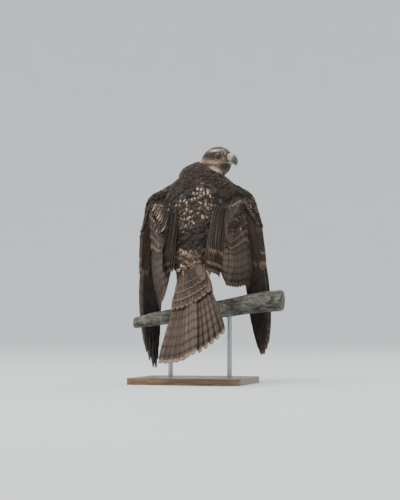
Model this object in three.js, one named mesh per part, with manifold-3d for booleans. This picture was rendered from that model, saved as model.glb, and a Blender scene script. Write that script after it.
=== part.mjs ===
// A red-tailed hawk in its first-year plumage, life size, on a short cut branch.
// The bird is seen from behind: it grips the branch with its tail hanging on
// the near side, its wings half open and drooping on the far side, and its head turned
// right round to its own right. A flat base with two rods holds the branch.
//
// Millimetres, +Z up. The bird's body heads along +Y and the branch runs along X.
// While the pieces are made, the origin is the middle of the branch under the bird.
// The last lines move the whole group so that the origin is under the middle of the base.

import * as THREE from 'three';
import { mergeVertices } from 'three/addons/utils/BufferGeometryUtils.js';
import Module from 'manifold-3d';

const wasm = await Module();
wasm.setup();

// Driving sizes

const GAP = 0.3; // clearance between pieces that touch
const VANE_THICK = 0.7; // a flight feather's vane
const REMEX_ROLL = 17; // degrees that each flight feather is rolled to lie over the next

const point = (x, y, z) => new THREE.Vector3(x, y, z);

// Body stations from the tail root up to the neck: centre, half width, depth to the back
// and to the belly. The trunk leans 31 degrees forward from upright.
const BODY = [
  { at: point(0, -47, 88), wide: 38, back: 15, belly: 20 },
  { at: point(0, -36, 110), wide: 54, back: 29, belly: 38 },
  { at: point(0, -12, 150), wide: 64, back: 41, belly: 54 },
  { at: point(0, 14, 196), wide: 72, back: 46, belly: 62 },
  { at: point(-1, 36, 242), wide: 84, back: 46, belly: 60 },
  { at: point(-2, 50, 278), wide: 80, back: 40, belly: 50 },
  { at: point(-1, 57, 300), wide: 58, back: 28, belly: 34 },
  { at: point(0, 60, 309), wide: 36, back: 18, belly: 22 },
];

// Neck stations from the shoulders into the head.
const NECK = [
  { at: point(1, 54, 284), wide: 68, back: 36, belly: 44 },
  { at: point(2, 58, 302), wide: 60, back: 35, belly: 40 },
  { at: point(6, 64, 317), wide: 45, back: 31, belly: 35 },
  { at: point(15, 69, 330), wide: 31, back: 25, belly: 28 },
  { at: point(22, 72, 340), wide: 18, back: 16, belly: 18 },
];

// The head looks to the bird's right and a little back: its own axes are forward,
// left and up, measured from the middle of the skull.
const HEAD_CENTRE = point(28, 72, 340);
const HEAD_TURN = -18; // degrees from +X, seen from above
const HEAD_NOD = -6; // degrees, bill down
const HEAD = [
  { forward: -38, wide: 11, top: 9, bottom: -12 },
  { forward: -31, wide: 20, top: 20, bottom: -24 },
  { forward: -17, wide: 27, top: 30, bottom: -32 },
  { forward: 0, wide: 29, top: 34, bottom: -34 },
  { forward: 12, wide: 27, top: 32.5, bottom: -32 },
  { forward: 21, wide: 22, top: 28, bottom: -27 },
  { forward: 28, wide: 15, top: 22, bottom: -20 },
  { forward: 33, wide: 9.5, top: 17, bottom: -12 },
];

const EYE_RADIUS = 8.6;
const EYE_AT = { forward: 12.5, side: 17.5, up: 13 };
const EYE_OUT = 21; // degrees that each eye looks forward of straight sideways
const LID_RADIUS = 7.2; // rim of the lids
const LID_THICK = 1.2;
const BROW_THICK = 3.4;

// Bill stations from the face to the tip: middle, half width and half height.
const BILL_UPPER = [
  { forward: 27, up: 8.5, wide: 9.2, high: 9.5 },
  { forward: 33, up: 9, wide: 8.6, high: 9.4 },
  { forward: 39, up: 8.4, wide: 7.6, high: 8.6 },
  { forward: 44.5, up: 6, wide: 6, high: 7.2 },
  { forward: 48.5, up: 1.6, wide: 4.3, high: 5.2 },
  { forward: 50, up: -3, wide: 2.8, high: 3.4 },
  { forward: 49.2, up: -7.6, wide: 1.1, high: 1.5 },
];
const CERE_END = 37.5; // forward end of the waxy skin at the base of the bill
const BILL_LOWER = [
  { forward: 26, up: -4.6, wide: 8, high: 3.4 },
  { forward: 34, up: -4.6, wide: 7, high: 3.2 },
  { forward: 40, up: -4.3, wide: 5.2, high: 2.6 },
  { forward: 44.5, up: -3.6, wide: 2.6, high: 1.4 },
];
const NOSTRIL_AT = { forward: 34.5, side: 8, up: 11.5 };
const NOSTRIL_RADIUS = 1.5;
// The mouth line runs back from the bill along the cheek, thinner toward its corner.
const GAPE_RADII = [1.6, 1.4, 1.2, 0.5];

// Wing landmarks, one set for each side. The shoulder, elbow, wrist and hand end are the
// joints under the feathers. The tips run from the outermost primary, by the longest one,
// to the innermost secondary.
const WINGS = {
  left: {
    side: -1,
    shoulder: point(-58, 40, 282),
    elbow: point(-66, -33, 166),
    wrist: point(-116, 40, 250),
    hand: point(-134, 34, 172),
    tips: [
      point(-143, 45, -46),
      point(-133, 49, -92),
      point(-112, 50, -128),
      point(-101, 42, -74),
      point(-95, 34, -12),
      point(-84, 6, 20),
      point(-70, -26, 26),
      point(-58, -46, 46),
    ],
  },
  right: {
    side: 1,
    shoulder: point(56, 40, 282),
    elbow: point(74, -33, 166),
    wrist: point(106, 40, 252),
    hand: point(134, 34, 182),
    tips: [
      point(153, 40, -34),
      point(149, 46, -70),
      point(135, 48, -96),
      point(122, 44, -60),
      point(113, 38, -2),
      point(108, 16, 54),
      point(92, -22, 52),
      point(74, -46, 56),
    ],
  },
};
const PRIMARIES = 10;
const SECONDARIES = 8; // a few fewer than in life
const REMIGES = PRIMARIES + SECONDARIES;
const WRIST_SPAN = PRIMARIES / REMIGES; // where the wrist falls between hand end and elbow
const ARM_THICK = 10; // half thickness of the arm under the coverts
const REMEX_FRONT = 9; // vane ahead of the shaft and behind it
const REMEX_REAR = 16;

// Tail: twelve feathers spread in a fan that is swung toward the right and tipped up there.
const TAIL_ROOT = point(3, -52, 92);
const TAIL_AXIS = point(0.149, -0.588, -0.794);
const TAIL_ACROSS = point(0.882, -0.278, 0.376);
const TAIL_PAIRS = 6;
const TAIL_LENGTH = 236;
const TAIL_FAN = 19; // degrees from the middle to the outermost shaft
const TAIL_BASE = 20; // half the width over the shafts' roots
const RECTRIX_OUTER = 9;
const RECTRIX_INNER = 15;
const RECTRIX_ROLL = 13; // degrees

// Legs stand close together under the belly.
const FEET = [
  { name: 'left', side: -1, x: -32 },
  { name: 'right', side: 1, x: 12 },
];
const TOE_RADIUS = 4.6;
const SHANK_RADIUS = 5.4;
const CLAW_LENGTH = 22;

// Branch: rises to the right and grows thicker that way. The left end is a broken stub.
const BRANCH = [
  { at: point(-146, 0, -24), radius: 12.5 },
  { at: point(-90, 0, -14), radius: 15.5 },
  { at: point(-10, 0, -2), radius: 18.5 },
  { at: point(70, 0, 9), radius: 20.5 },
  { at: point(130, 0, 19), radius: 22.5 },
  { at: point(192, 0, 25), radius: 23.5 },
];

// Display stand
const BASE_SIZE = { x: 250, y: 210, z: 14 };
const BASE_CENTRE = { x: 0, y: -30 };
const BASE_TOP = -142;
const BASE_CORNER = 18;
const ROD_RADIUS = 5.5;
const ROD_X = [-62, 72];

// Solids

const asSolid = (geometry) => {
  geometry.deleteAttribute('normal');
  geometry.deleteAttribute('uv');
  const merged = mergeVertices(geometry, 1e-4);
  const mesh = new wasm.Mesh({
    numProp: 3,
    vertProperties: new Float32Array(merged.attributes.position.array),
    triVerts: new Uint32Array(merged.index.array),
  });
  return new wasm.Manifold(mesh);
};

const join = (solids) => solids.reduce((whole, next) => whole.add(next));

// After a join or a cut only the largest closed surface is kept.
const largest = (solid) => {
  const parts = solid.decompose();
  return parts.reduce((best, next) => (next.volume() > best.volume() ? next : best));
};

const asGeometry = (solid) => {
  const mesh = solid.getMesh();
  const geometry = new THREE.BufferGeometry();
  geometry.setAttribute('position', new THREE.BufferAttribute(mesh.vertProperties, 3));
  geometry.setIndex(new THREE.BufferAttribute(mesh.triVerts, 1));
  geometry.computeVertexNormals();
  return geometry;
};

// Skin over a stack of rings with equal counts of points, closed at both ends by fans.
// The second half of each ring is split the other way, so that the two faces of a thin
// blade are split alike.
const skinOver = (rings) => {
  const columns = rings[0].length;
  const points = rings.flat();
  const index = [];
  for (let row = 0; row + 1 < rings.length; row += 1) {
    for (let column = 0; column < columns; column += 1) {
      const a = row * columns + column;
      const b = row * columns + ((column + 1) % columns);
      const c = b + columns;
      const d = a + columns;
      if (column < columns / 2) index.push(a, b, c, a, c, d);
      else index.push(a, b, d, b, c, d);
    }
  }
  const last = (rings.length - 1) * columns;
  for (let column = 1; column + 1 < columns; column += 1) {
    index.push(0, column + 1, column);
    index.push(last, last + column, last + column + 1);
  }
  const geometry = new THREE.BufferGeometry().setFromPoints(points);
  geometry.setIndex(index);
  const solid = asSolid(geometry);
  return solid.volume() > 0 ? solid : asSolid(turnedInsideOut(points, index));
};

const turnedInsideOut = (points, index) => {
  const geometry = new THREE.BufferGeometry().setFromPoints(points);
  geometry.setIndex(index.slice().reverse());
  return geometry;
};

const mix = THREE.MathUtils.lerp;
const between = (a, b, t) => a.clone().lerp(b, t);
const step = (from, direction, length) => from.clone().addScaledVector(direction, length);
const radians = THREE.MathUtils.degToRad;

// One value of a list of stations at s from 0 to 1, smooth through each station.
const valueAlong = (stations, key, s) => {
  const curve = new THREE.SplineCurve(stations.map((entry, i) => new THREE.Vector2(i, entry[key])));
  return curve.getPoint(s).y;
};

// Body, neck and legs: egg-shaped rings square to a centre line

const lineOf = (stations) => new THREE.CatmullRomCurve3(stations.map((entry) => entry.at));

const wayOf = (stations) => stations.at(-1).at.clone().sub(stations[0].at).normalize();

// A point on the surface of a trunk at s along it. The angle starts at the back and turns
// toward the bird's right. Lift is the height above the surface.
const trunkPoint = (stations, s, angle, lift = 0) => {
  const centre = lineOf(stations).getPoint(s);
  const along = wayOf(stations);
  const right = point(1, 0, 0).addScaledVector(along, -along.x).normalize();
  const back = new THREE.Vector3().crossVectors(right, along).normalize();
  if (back.y > 0) back.negate();
  const depthKey = Math.cos(angle) > 0 ? 'back' : 'belly';
  const depth = valueAlong(stations, depthKey, s) + lift;
  const wide = valueAlong(stations, 'wide', s) + lift;
  return centre
    .addScaledVector(back, Math.cos(angle) * depth)
    .addScaledVector(right, Math.sin(angle) * wide);
};

const TRUNK_SIDES = 14;
const trunk = (stations, rows, grow = 0, from = 0, to = 1) => {
  const rings = [];
  for (let row = 0; row <= rows; row += 1) {
    const s = mix(from, to, row / rows);
    const ring = [];
    for (let side = 0; side < TRUNK_SIDES; side += 1) {
      ring.push(trunkPoint(stations, s, (side / TRUNK_SIDES) * 2 * Math.PI, grow));
    }
    rings.push(ring);
  }
  for (const end of [0, 1]) {
    const outward = wayOf(stations).multiplyScalar(grow * (2 * end - 1));
    rings.at(-end).forEach((place) => place.add(outward));
  }
  return skinOver(rings);
};

// A round limb through a list of points with a radius at each.
const LIMB_SIDES = 12;
const limb = (points, radii, rows, sides = LIMB_SIDES) => {
  const line = new THREE.CatmullRomCurve3(points);
  const stations = radii.map((radius) => ({ radius }));
  const frames = line.computeFrenetFrames(rows, false);
  const rings = [];
  for (let row = 0; row <= rows; row += 1) {
    const s = row / rows;
    const centre = line.getPointAt(s);
    const radius = valueAlong(stations, 'radius', line.getUtoTmapping(s));
    const ring = [];
    for (let side = 0; side < sides; side += 1) {
      const angle = (side / sides) * 2 * Math.PI;
      ring.push(
        centre
          .clone()
          .addScaledVector(frames.normals[row], Math.cos(angle) * radius)
          .addScaledVector(frames.binormals[row], Math.sin(angle) * radius),
      );
    }
    rings.push(ring);
  }
  return skinOver(rings);
};

const ball = (centre, radius, width = 12, height = 8) => {
  const geometry = new THREE.SphereGeometry(radius, width, height);
  geometry.translate(centre.x, centre.y, centre.z);
  return asSolid(geometry);
};

// Feathers

// A sheet is a function of k and t: k picks the feather and t runs along it from root to
// tip. Each vane is a flat blade on the sheet, rolled a little about its shaft, so that it
// lies over one neighbour and under the other without touching them.
const K_STEP = 0.004;
const T_STEP = 0.01;

const sheetFrame = (sheet, k, t) => {
  const at = sheet(k, t);
  const along = sheet(k, Math.min(t + T_STEP, 1)).sub(sheet(k, Math.max(t - T_STEP, 0)));
  along.normalize();
  const across = sheet(k + K_STEP, t).sub(sheet(k - K_STEP, t)).divideScalar(2 * K_STEP);
  across.addScaledVector(along, -across.dot(along));
  return { at, along, across: across.normalize() };
};

const LONG_ROWS = [
  [0.42, 0.9],
  [0.75, 1],
  [0.93, 0.75],
  [1, 0.15],
];
const TAIL_ROWS = [
  [0.1, 0.75],
  [0.55, 1],
  [0.9, 0.9],
  [0.98, 0.6],
  [1, 0.25],
];
const SHORT_ROWS = [
  [0, 0.8],
  [0.72, 1],
  [1, 0.45],
];

// The vane reaches `less` toward falling k and `more` toward rising k. `over` is 1 where a
// vane lies over the one before it, -1 where it lies under it and 0 where it lies flat.
// `outward` gives the outside of the sheet at k, and `roll` is in degrees.
const vane = (sheet, k, { rows, less, more, over, outward, roll, thick = VANE_THICK, lift = 0 }) => {
  const lean = radians(roll) * over;
  const rings = rows.map(([t, width]) => {
    const frame = sheetFrame(sheet, k, t);
    const out = outward(k, t);
    out.addScaledVector(frame.along, -out.dot(frame.along)).normalize();
    const side = new THREE.Vector3().crossVectors(out, frame.along);
    if (side.dot(frame.across) < 0) side.negate();
    const across = side.clone().multiplyScalar(Math.cos(lean)).addScaledVector(out, -Math.sin(lean));
    const up = side.multiplyScalar(Math.sin(lean)).addScaledVector(out, Math.cos(lean));
    const shaft = step(frame.at, out, lift);
    const low = step(shaft, across, -less * width);
    const high = step(shaft, across, more * width);
    const half = thick / 2;
    return [step(low, up, half), step(high, up, half), step(high, up, -half), step(low, up, -half)];
  });
  return skinOver(rings);
};

// Head

const headAxes = () => {
  const turn = radians(HEAD_TURN);
  const nod = radians(HEAD_NOD);
  const forward = point(Math.cos(turn) * Math.cos(nod), Math.sin(turn) * Math.cos(nod), Math.sin(nod));
  const left = point(-Math.sin(turn), Math.cos(turn), 0);
  const up = new THREE.Vector3().crossVectors(forward, left);
  return { forward, left, up };
};

const HEAD_AXES = headAxes();
const inHead = (forward, left, up) =>
  HEAD_CENTRE.clone()
    .addScaledVector(HEAD_AXES.forward, forward)
    .addScaledVector(HEAD_AXES.left, left)
    .addScaledVector(HEAD_AXES.up, up);

const HEAD_SIDES = 16;
const HEAD_ROWS = 10;
const skull = (grow = 0) => {
  const rings = [];
  for (let row = 0; row <= HEAD_ROWS; row += 1) {
    const s = row / HEAD_ROWS;
    const forward = valueAlong(HEAD, 'forward', s) + grow * (2 * s - 1);
    const wide = valueAlong(HEAD, 'wide', s) + grow;
    const top = valueAlong(HEAD, 'top', s) + grow;
    const bottom = valueAlong(HEAD, 'bottom', s) - grow;
    const ring = [];
    for (let side = 0; side < HEAD_SIDES; side += 1) {
      const angle = (side / HEAD_SIDES) * 2 * Math.PI;
      const middle = (top + bottom) / 2;
      const half = (top - bottom) / 2;
      ring.push(inHead(forward, Math.sin(angle) * wide, middle + Math.cos(angle) * half));
    }
    rings.push(ring);
  }
  return skinOver(rings);
};

const eyeCentre = (side) => inHead(EYE_AT.forward, side * EYE_AT.side, EYE_AT.up);
const eyeAxis = (side) => {
  const out = radians(EYE_OUT);
  return inHead(Math.sin(out), side * Math.cos(out), 0).sub(HEAD_CENTRE);
};

const lidRing = (side) => {
  const axis = eyeAxis(side);
  const depth = Math.sqrt(EYE_RADIUS ** 2 - LID_RADIUS ** 2) + 0.6;
  const geometry = new THREE.TorusGeometry(LID_RADIUS + 0.5, LID_THICK, 5, 12);
  geometry.applyQuaternion(new THREE.Quaternion().setFromUnitVectors(point(0, 0, 1), axis));
  const centre = step(eyeCentre(side), axis, depth);
  geometry.translate(centre.x, centre.y, centre.z);
  return asSolid(geometry);
};

// The brow is a ridge that shades each eye from above.
const brow = (side) => {
  const points = [
    inHead(-4, side * 20, 23),
    inHead(8, side * 22.5, 22.5),
    inHead(19, side * 19.5, 20.5),
    inHead(28, side * 10, 17),
  ];
  return limb(points, [1.4, BROW_THICK, BROW_THICK, 1.6], 6, 8);
};

const gapeCut = (side) => {
  const points = [
    inHead(36, side * 9, -2),
    inHead(29, side * 13.5, -2),
    inHead(21, side * 21.8, -4),
    inHead(13, side * 27, -7),
  ];
  return limb(points, GAPE_RADII, 5, 6);
};

// Bill pieces bend downward, so each ring leans with the line through the middles.
const BILL_SIDES = 12;
const BILL_ROWS = 10;
const bill = (stations, grow = 0) => {
  const middles = stations.map((entry) => new THREE.Vector2(entry.forward, entry.up));
  const line = new THREE.SplineCurve(middles);
  const rings = [];
  for (let row = 0; row <= BILL_ROWS; row += 1) {
    const s = row / BILL_ROWS;
    const middle = line.getPoint(s);
    const along = line.getTangent(s);
    const wide = valueAlong(stations, 'wide', s) + grow;
    const high = valueAlong(stations, 'high', s) + grow;
    const ring = [];
    for (let side = 0; side < BILL_SIDES; side += 1) {
      const angle = (side / BILL_SIDES) * 2 * Math.PI;
      const rise = Math.cos(angle) * high;
      ring.push(
        inHead(middle.x - along.y * rise, Math.sin(angle) * wide, middle.y + along.x * rise),
      );
    }
    rings.push(ring);
  }
  return skinOver(rings);
};

// A block that fills the head's frame from one forward value to another.
const headBlock = (from, to) => {
  const reach = 60;
  const corners = [
    [-reach, -reach],
    [reach, -reach],
    [reach, reach],
    [-reach, reach],
  ];
  const ringAt = (forward) => corners.map(([left, up]) => inHead(forward, left, up));
  return skinOver([ringAt(from), ringAt(to)]);
};

const nostrilCut = (side) => {
  const inner = inHead(NOSTRIL_AT.forward, side * (NOSTRIL_AT.side - 2.4), NOSTRIL_AT.up);
  const outer = inHead(NOSTRIL_AT.forward - 0.6, side * (NOSTRIL_AT.side + 4), NOSTRIL_AT.up + 0.6);
  return limb([inner, outer], [NOSTRIL_RADIUS, NOSTRIL_RADIUS], 2, 8);
};

const makeBillUpper = () => largest(bill(BILL_UPPER).intersect(headBlock(CERE_END + GAP, 80)));
const makeBillLower = () => largest(bill(BILL_LOWER).subtract(bill(BILL_UPPER, GAP)));
const makeCere = () => {
  const solid = bill(BILL_UPPER).intersect(headBlock(0, CERE_END));
  return largest(solid.subtract(nostrilCut(1)).subtract(nostrilCut(-1)));
};

const makeHead = (torsoRoom) => {
  let solid = skull();
  for (const side of [-1, 1]) solid = solid.add(brow(side)).add(lidRing(side));
  for (const side of [-1, 1]) {
    solid = solid.subtract(ball(eyeCentre(side), EYE_RADIUS + GAP)).subtract(gapeCut(side));
  }
  const billRoom = bill(BILL_UPPER, GAP).add(bill(BILL_LOWER, GAP));
  return largest(solid.subtract(billRoom).subtract(torsoRoom));
};

// Neck

const makeNeck = (torsoRoom) => {
  const headRoom = skull(GAP);
  return largest(trunk(NECK, 7).subtract(torsoRoom).subtract(headRoom));
};

// Torso with the long feathers of the shoulders

const TORSO_ROWS = 11;

// Tiers of shoulder feathers lie down the back on both sides of the spine. Each tier
// starts higher on the body and lies over the one below it.
const SCAPULAR_TIERS = [
  { from: 0.56, to: 0.2, inner: 5, outer: 47, count: 4, lift: 3.4, wide: 20 },
  { from: 0.7, to: 0.38, inner: 5, outer: 50, count: 4, lift: 7, wide: 20 },
  { from: 0.77, to: 0.52, inner: 6, outer: 50, count: 3, lift: 10.5, wide: 22 },
];
const SCAPULAR_SINK = 5;
const BACK_OUT = point(0, -0.85, 0.5);
const trunkOut = (angle) =>
  BACK_OUT.clone().multiplyScalar(Math.cos(angle)).add(point(Math.sin(angle), 0, 0));

const scapularSheet = (tier, side) => (k, t) => {
  const angle = radians(mix(tier.inner, tier.outer, k)) * side;
  const s = mix(tier.from, tier.to - 0.03 * Math.sin(k * Math.PI), t);
  const rise = mix(-SCAPULAR_SINK, tier.lift, Math.min(t * 3, 1));
  return trunkPoint(BODY, s, angle, rise);
};

const scapulars = () => {
  const vanes = [];
  for (const tier of SCAPULAR_TIERS) {
    for (const side of [-1, 1]) {
      for (let i = 0; i < tier.count; i += 1) {
        const k = (i + 0.5) / tier.count;
        vanes.push(
          vane(scapularSheet(tier, side), k, {
            rows: SHORT_ROWS,
            less: tier.wide / 2,
            more: tier.wide / 2,
            over: -1,
            outward: (at) => trunkOut(side * radians(mix(tier.inner, tier.outer, at))),
            roll: COVERT_ROLL,
          }),
        );
      }
    }
  }
  return vanes;
};

const makeTorso = () => largest(join([trunk(BODY, TORSO_ROWS), ...scapulars()]));

// Wings

// Upper edge of the wing's flesh: shoulder, wrist, hand end.
const wingEdge = (wing, k) => {
  if (k > WRIST_SPAN) return between(wing.wrist, wing.shoulder, (k - WRIST_SPAN) / (1 - WRIST_SPAN));
  return between(wing.hand, wing.wrist, k / WRIST_SPAN);
};

// Lower edge of the flesh, where the flight feathers come out: hand end, wrist, elbow.
const HAND_DEPTH = 26;
const FLESH_DROP = 22;
const wingHem = (wing, k) => {
  const inward = point(-wing.side * 0.55, -0.83, 0);
  const drop = point(0, -0.1, -1).multiplyScalar(FLESH_DROP);
  const atWrist = step(wing.wrist, inward, HAND_DEPTH).add(drop);
  const atHand = step(wing.hand, inward, HAND_DEPTH * 0.4);
  if (k > WRIST_SPAN) {
    const atElbow = wing.elbow.clone().add(drop);
    return between(atWrist, atElbow, (k - WRIST_SPAN) / (1 - WRIST_SPAN));
  }
  return between(atHand, atWrist, k / WRIST_SPAN);
};

const tipOf = (wing, k) => new THREE.CatmullRomCurve3(wing.tips).getPoint(THREE.MathUtils.clamp(k, 0, 1));

// Flight feathers: the shaft leaves the flesh near its lower edge and bows out a little.
const BOW = 10;
// The folded primaries are stacked: each lies this much further out than the one before.
const STACK = 6;
const stackHeight = (k, t) => {
  const rise = Math.sin((Math.PI / 2) * Math.min(1, Math.max(0, k) / 0.6));
  return STACK * (rise - 0.5) * mix(1, 0.6, t);
};
const remexSheet = (wing) => (k, t) => {
  const root = between(wingEdge(wing, k), wingHem(wing, k), mix(0.8, 0.72, k));
  const tip = tipOf(wing, k);
  const reach = BOW * Math.sin(Math.PI * t) + stackHeight(k, t);
  return step(between(root, tip, t), point(wing.side * 0.8, -0.6, 0), reach);
};

// Coverts: each tier starts further up the flesh, bends over its lower edge and lies on the
// feathers of the tier below.
const COVERT_TIERS = [
  { count: 9, from: 0.5, reach: 0.4, lift: 7, wide: 18, start: 0.03, end: 0.98 },
  { count: 6, from: 0.2, reach: 0.18, lift: 12, wide: 21, start: 0.08, end: 0.97 },
];
const covertSheet = (wing, tier) => (k, t) => {
  const edge = wingEdge(wing, k);
  const hem = wingHem(wing, k);
  const out = point(wing.side * 0.72, -0.6, 0.35).normalize();
  const start = between(edge, hem, tier.from);
  const bend = step(between(edge, hem, 0.9), out, ARM_THICK * 0.8 + tier.lift);
  const under = remexSheet(wing)(k, tier.reach);
  const end = step(under, out, tier.lift);
  const first = between(start, bend, t);
  const second = between(bend, end, t);
  return between(first, second, t);
};

// The stems of the flight feathers are packed in one sheet that ends under the coverts.
const CORE_HALF = 3.4;
const CORE_END = 0.47;
const wingCore = (wing) => {
  const rows = 14;
  const columns = 3;
  const sheet = remexSheet(wing);
  const outward = wingOutward(wing);
  const rings = [];
  for (let row = 0; row <= rows; row += 1) {
    const k = mix(0.02, 0.98, row / rows);
    const upper = [];
    const lower = [];
    for (let column = 0; column <= columns; column += 1) {
      const t = (CORE_END * column) / columns;
      const half = mix(CORE_HALF, CORE_HALF * 0.6, column / columns);
      upper.push(step(sheet(k, t), outward(k), half));
      lower.unshift(step(sheet(k, t), outward(k), -half));
    }
    rings.push([...upper, ...lower]);
  }
  return skinOver(rings);
};

const wingFlesh = (wing) => {
  const rows = 14;
  const rings = [];
  for (let row = 0; row <= rows; row += 1) {
    const k = row / rows;
    const edge = wingEdge(wing, k);
    const hem = wingHem(wing, k);
    const chord = hem.clone().sub(edge);
    const span = wingEdge(wing, Math.min(k + 0.05, 1)).sub(wingEdge(wing, Math.max(k - 0.05, 0)));
    const out = new THREE.Vector3().crossVectors(chord, span).normalize();
    if (out.x * wing.side + -out.y < 0) out.negate();
    const depth = mix(0.55, 1, Math.min(1, k * 1.6)) * ARM_THICK;
    const profile = [
      [0.02, 0.35],
      [0.25, 0.95],
      [0.6, 1],
      [1, 0.35],
    ];
    const upper = profile.map(([q, h]) => step(between(edge, hem, q), out, h * depth));
    const lower = profile.map(([q, h]) => step(between(edge, hem, q), out, -h * depth)).reverse();
    rings.push([...upper, ...lower]);
  }
  return skinOver(rings);
};

const COVERT_ROLL = 15;
const wingOutward = (wing) => (k) =>
  point(wing.side * mix(0.86, 0.66, k), -mix(0.5, 0.75, k), 0.05);

const makeWing = (wing, torsoRoom) => {
  const pieces = [wingFlesh(wing), wingCore(wing)];
  const outward = wingOutward(wing);
  for (let i = 0; i < REMIGES; i += 1) {
    const k = (i + 0.5) / REMIGES;
    pieces.push(
      vane(remexSheet(wing), k, {
        rows: LONG_ROWS,
        less: REMEX_FRONT,
        more: REMEX_REAR,
        over: 1,
        outward,
        roll: REMEX_ROLL,
      }),
    );
  }
  for (const tier of COVERT_TIERS) {
    for (let i = 0; i < tier.count; i += 1) {
      const k = mix(tier.start, tier.end, (i + 0.5) / tier.count);
      pieces.push(
        vane(covertSheet(wing, tier), k, {
          rows: SHORT_ROWS,
          less: tier.wide * 0.4,
          more: tier.wide * 0.6,
          over: 1,
          outward,
          roll: COVERT_ROLL,
        }),
      );
    }
  }
  return largest(join(pieces).subtract(torsoRoom));
};

// Tail

const TAIL_UP = new THREE.Vector3().crossVectors(TAIL_AXIS, TAIL_ACROSS).normalize();

// Shafts spread from the root: k runs from -1 at the left edge to 1 at the right edge.
const tailSheet = (length, base, fan) => (k, t) => {
  const angle = radians(fan * k);
  const start = step(TAIL_ROOT, TAIL_ACROSS, base * k);
  const reach = length * (1 - 0.06 * k * k) * t;
  return start
    .addScaledVector(TAIL_AXIS, Math.cos(angle) * reach)
    .addScaledVector(TAIL_ACROSS, Math.sin(angle) * reach);
};

const TAIL_STUB = [
  { along: 1, wide: 30, high: 13 },
  { along: 14, wide: 31, high: 12 },
  { along: 30, wide: 30, high: 8 },
  { along: 44, wide: 26, high: 3 },
];

const tailStub = () => {
  const rows = 5;
  const rings = [];
  for (let row = 0; row <= rows; row += 1) {
    const s = row / rows;
    const centre = step(TAIL_ROOT, TAIL_AXIS, valueAlong(TAIL_STUB, 'along', s));
    const wide = valueAlong(TAIL_STUB, 'wide', s);
    const high = valueAlong(TAIL_STUB, 'high', s);
    const ring = [];
    for (let side = 0; side < TRUNK_SIDES; side += 1) {
      const angle = (side / TRUNK_SIDES) * 2 * Math.PI;
      ring.push(
        centre
          .clone()
          .addScaledVector(TAIL_ACROSS, Math.sin(angle) * wide)
          .addScaledVector(TAIL_UP, Math.cos(angle) * high),
      );
    }
    rings.push(ring);
  }
  return skinOver(rings);
};

const DECK_LIFT = 3.2; // the middle pair lies on top of all the others
const TAIL_COVERTS = [
  { count: 6, length: 104, lift: 7, wide: 15, fan: 18, base: 24 },
  { count: 4, length: 70, lift: 11, wide: 20, fan: 16, base: 22 },
];

const makeTail = (torsoRoom) => {
  const pieces = [tailStub()];
  const count = TAIL_PAIRS * 2;
  for (let i = 0; i < count; i += 1) {
    const k = (2 * (i + 0.5)) / count - 1;
    const deck = Math.abs(k) < 1.5 / count;
    const right = k > 0;
    const options = {
      rows: TAIL_ROWS,
      less: right ? RECTRIX_INNER : RECTRIX_OUTER,
      more: right ? RECTRIX_OUTER : RECTRIX_INNER,
      over: right ? -1 : 1,
      outward: () => TAIL_UP.clone(),
      roll: RECTRIX_ROLL,
    };
    if (deck) Object.assign(options, { over: 0, lift: DECK_LIFT + (right ? 1.2 : 0), less: 13, more: 13 });
    pieces.push(vane(tailSheet(TAIL_LENGTH, TAIL_BASE, TAIL_FAN), k, options));
  }
  for (const tier of TAIL_COVERTS) {
    for (let i = 0; i < tier.count; i += 1) {
      const k = (2 * (i + 0.5)) / tier.count - 1;
      pieces.push(
        vane(tailSheet(tier.length, tier.base, tier.fan), k, {
          rows: SHORT_ROWS,
          less: tier.wide / 2,
          more: tier.wide * 0.8,
          over: 1,
          outward: () => TAIL_UP.clone(),
          roll: COVERT_ROLL,
          lift: tier.lift,
        }),
      );
    }
  }
  return largest(join(pieces).subtract(torsoRoom));
};

// Legs

const branchLine = new THREE.CatmullRomCurve3(BRANCH.map((entry) => entry.at));
const branchAt = (x) => {
  const low = BRANCH.findIndex((entry, i) => i + 1 < BRANCH.length && x <= BRANCH[i + 1].at.x);
  const first = BRANCH[Math.max(low, 0)];
  const second = BRANCH[Math.max(low, 0) + 1];
  const s = (x - first.at.x) / (second.at.x - first.at.x);
  return { z: mix(first.at.z, second.at.z, s), radius: mix(first.radius, second.radius, s) };
};

// Toes lie round the branch: three over the far side and the hind one on the near side.
// The angle is measured from the top of the branch, positive toward +Y.
const TOES = [
  { name: 'inner', spread: -15, start: 8, end: 96, lean: -9 },
  { name: 'middle', spread: 0, start: 8, end: 112, lean: 0 },
  { name: 'outer', spread: 15, start: 8, end: 92, lean: 9 },
  { name: 'hind', spread: -3, start: -8, end: -84, lean: 0 },
];

const onBranch = (x, angle, height) => {
  const spot = branchAt(x);
  const reach = spot.radius + height;
  return point(x, Math.sin(angle) * reach, spot.z + Math.cos(angle) * reach);
};

const toePath = (foot, toe, from, to, height) => {
  const points = [];
  const pieces = 5;
  for (let i = 0; i <= pieces; i += 1) {
    const s = i / pieces;
    const angle = radians(mix(from, to, s));
    const progress = (mix(from, to, s) - toe.start) / (toe.end - toe.start);
    const x = foot.x + foot.side * (toe.spread * Math.min(1, progress * 1.2) + toe.lean * 0.2);
    points.push(onBranch(x, angle, height(s)));
  }
  return points;
};

const ankleOf = (foot) => point(foot.x, -22, 70);
const soleOf = (foot) => onBranch(foot.x, 0, TOE_RADIUS + 1.5);
const shankWay = (foot) => ankleOf(foot).sub(soleOf(foot)).normalize();
const INSTEP = 7; // the foot rises this far up the shank

const toeDegree = (foot) => (branchAt(foot.x).radius + TOE_RADIUS) * (Math.PI / 180);

const toeSolid = (foot, toe, grow = 0) => {
  const end = toe.end + (Math.sign(toe.end) * grow) / toeDegree(foot);
  const path = toePath(foot, toe, 0, end, (s) => TOE_RADIUS * mix(1, 0.8, s) + 0.5);
  const radii = [1.15, 1, 0.8].map((factor) => TOE_RADIUS * factor + grow);
  return limb(path, radii, 5, 6);
};

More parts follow.
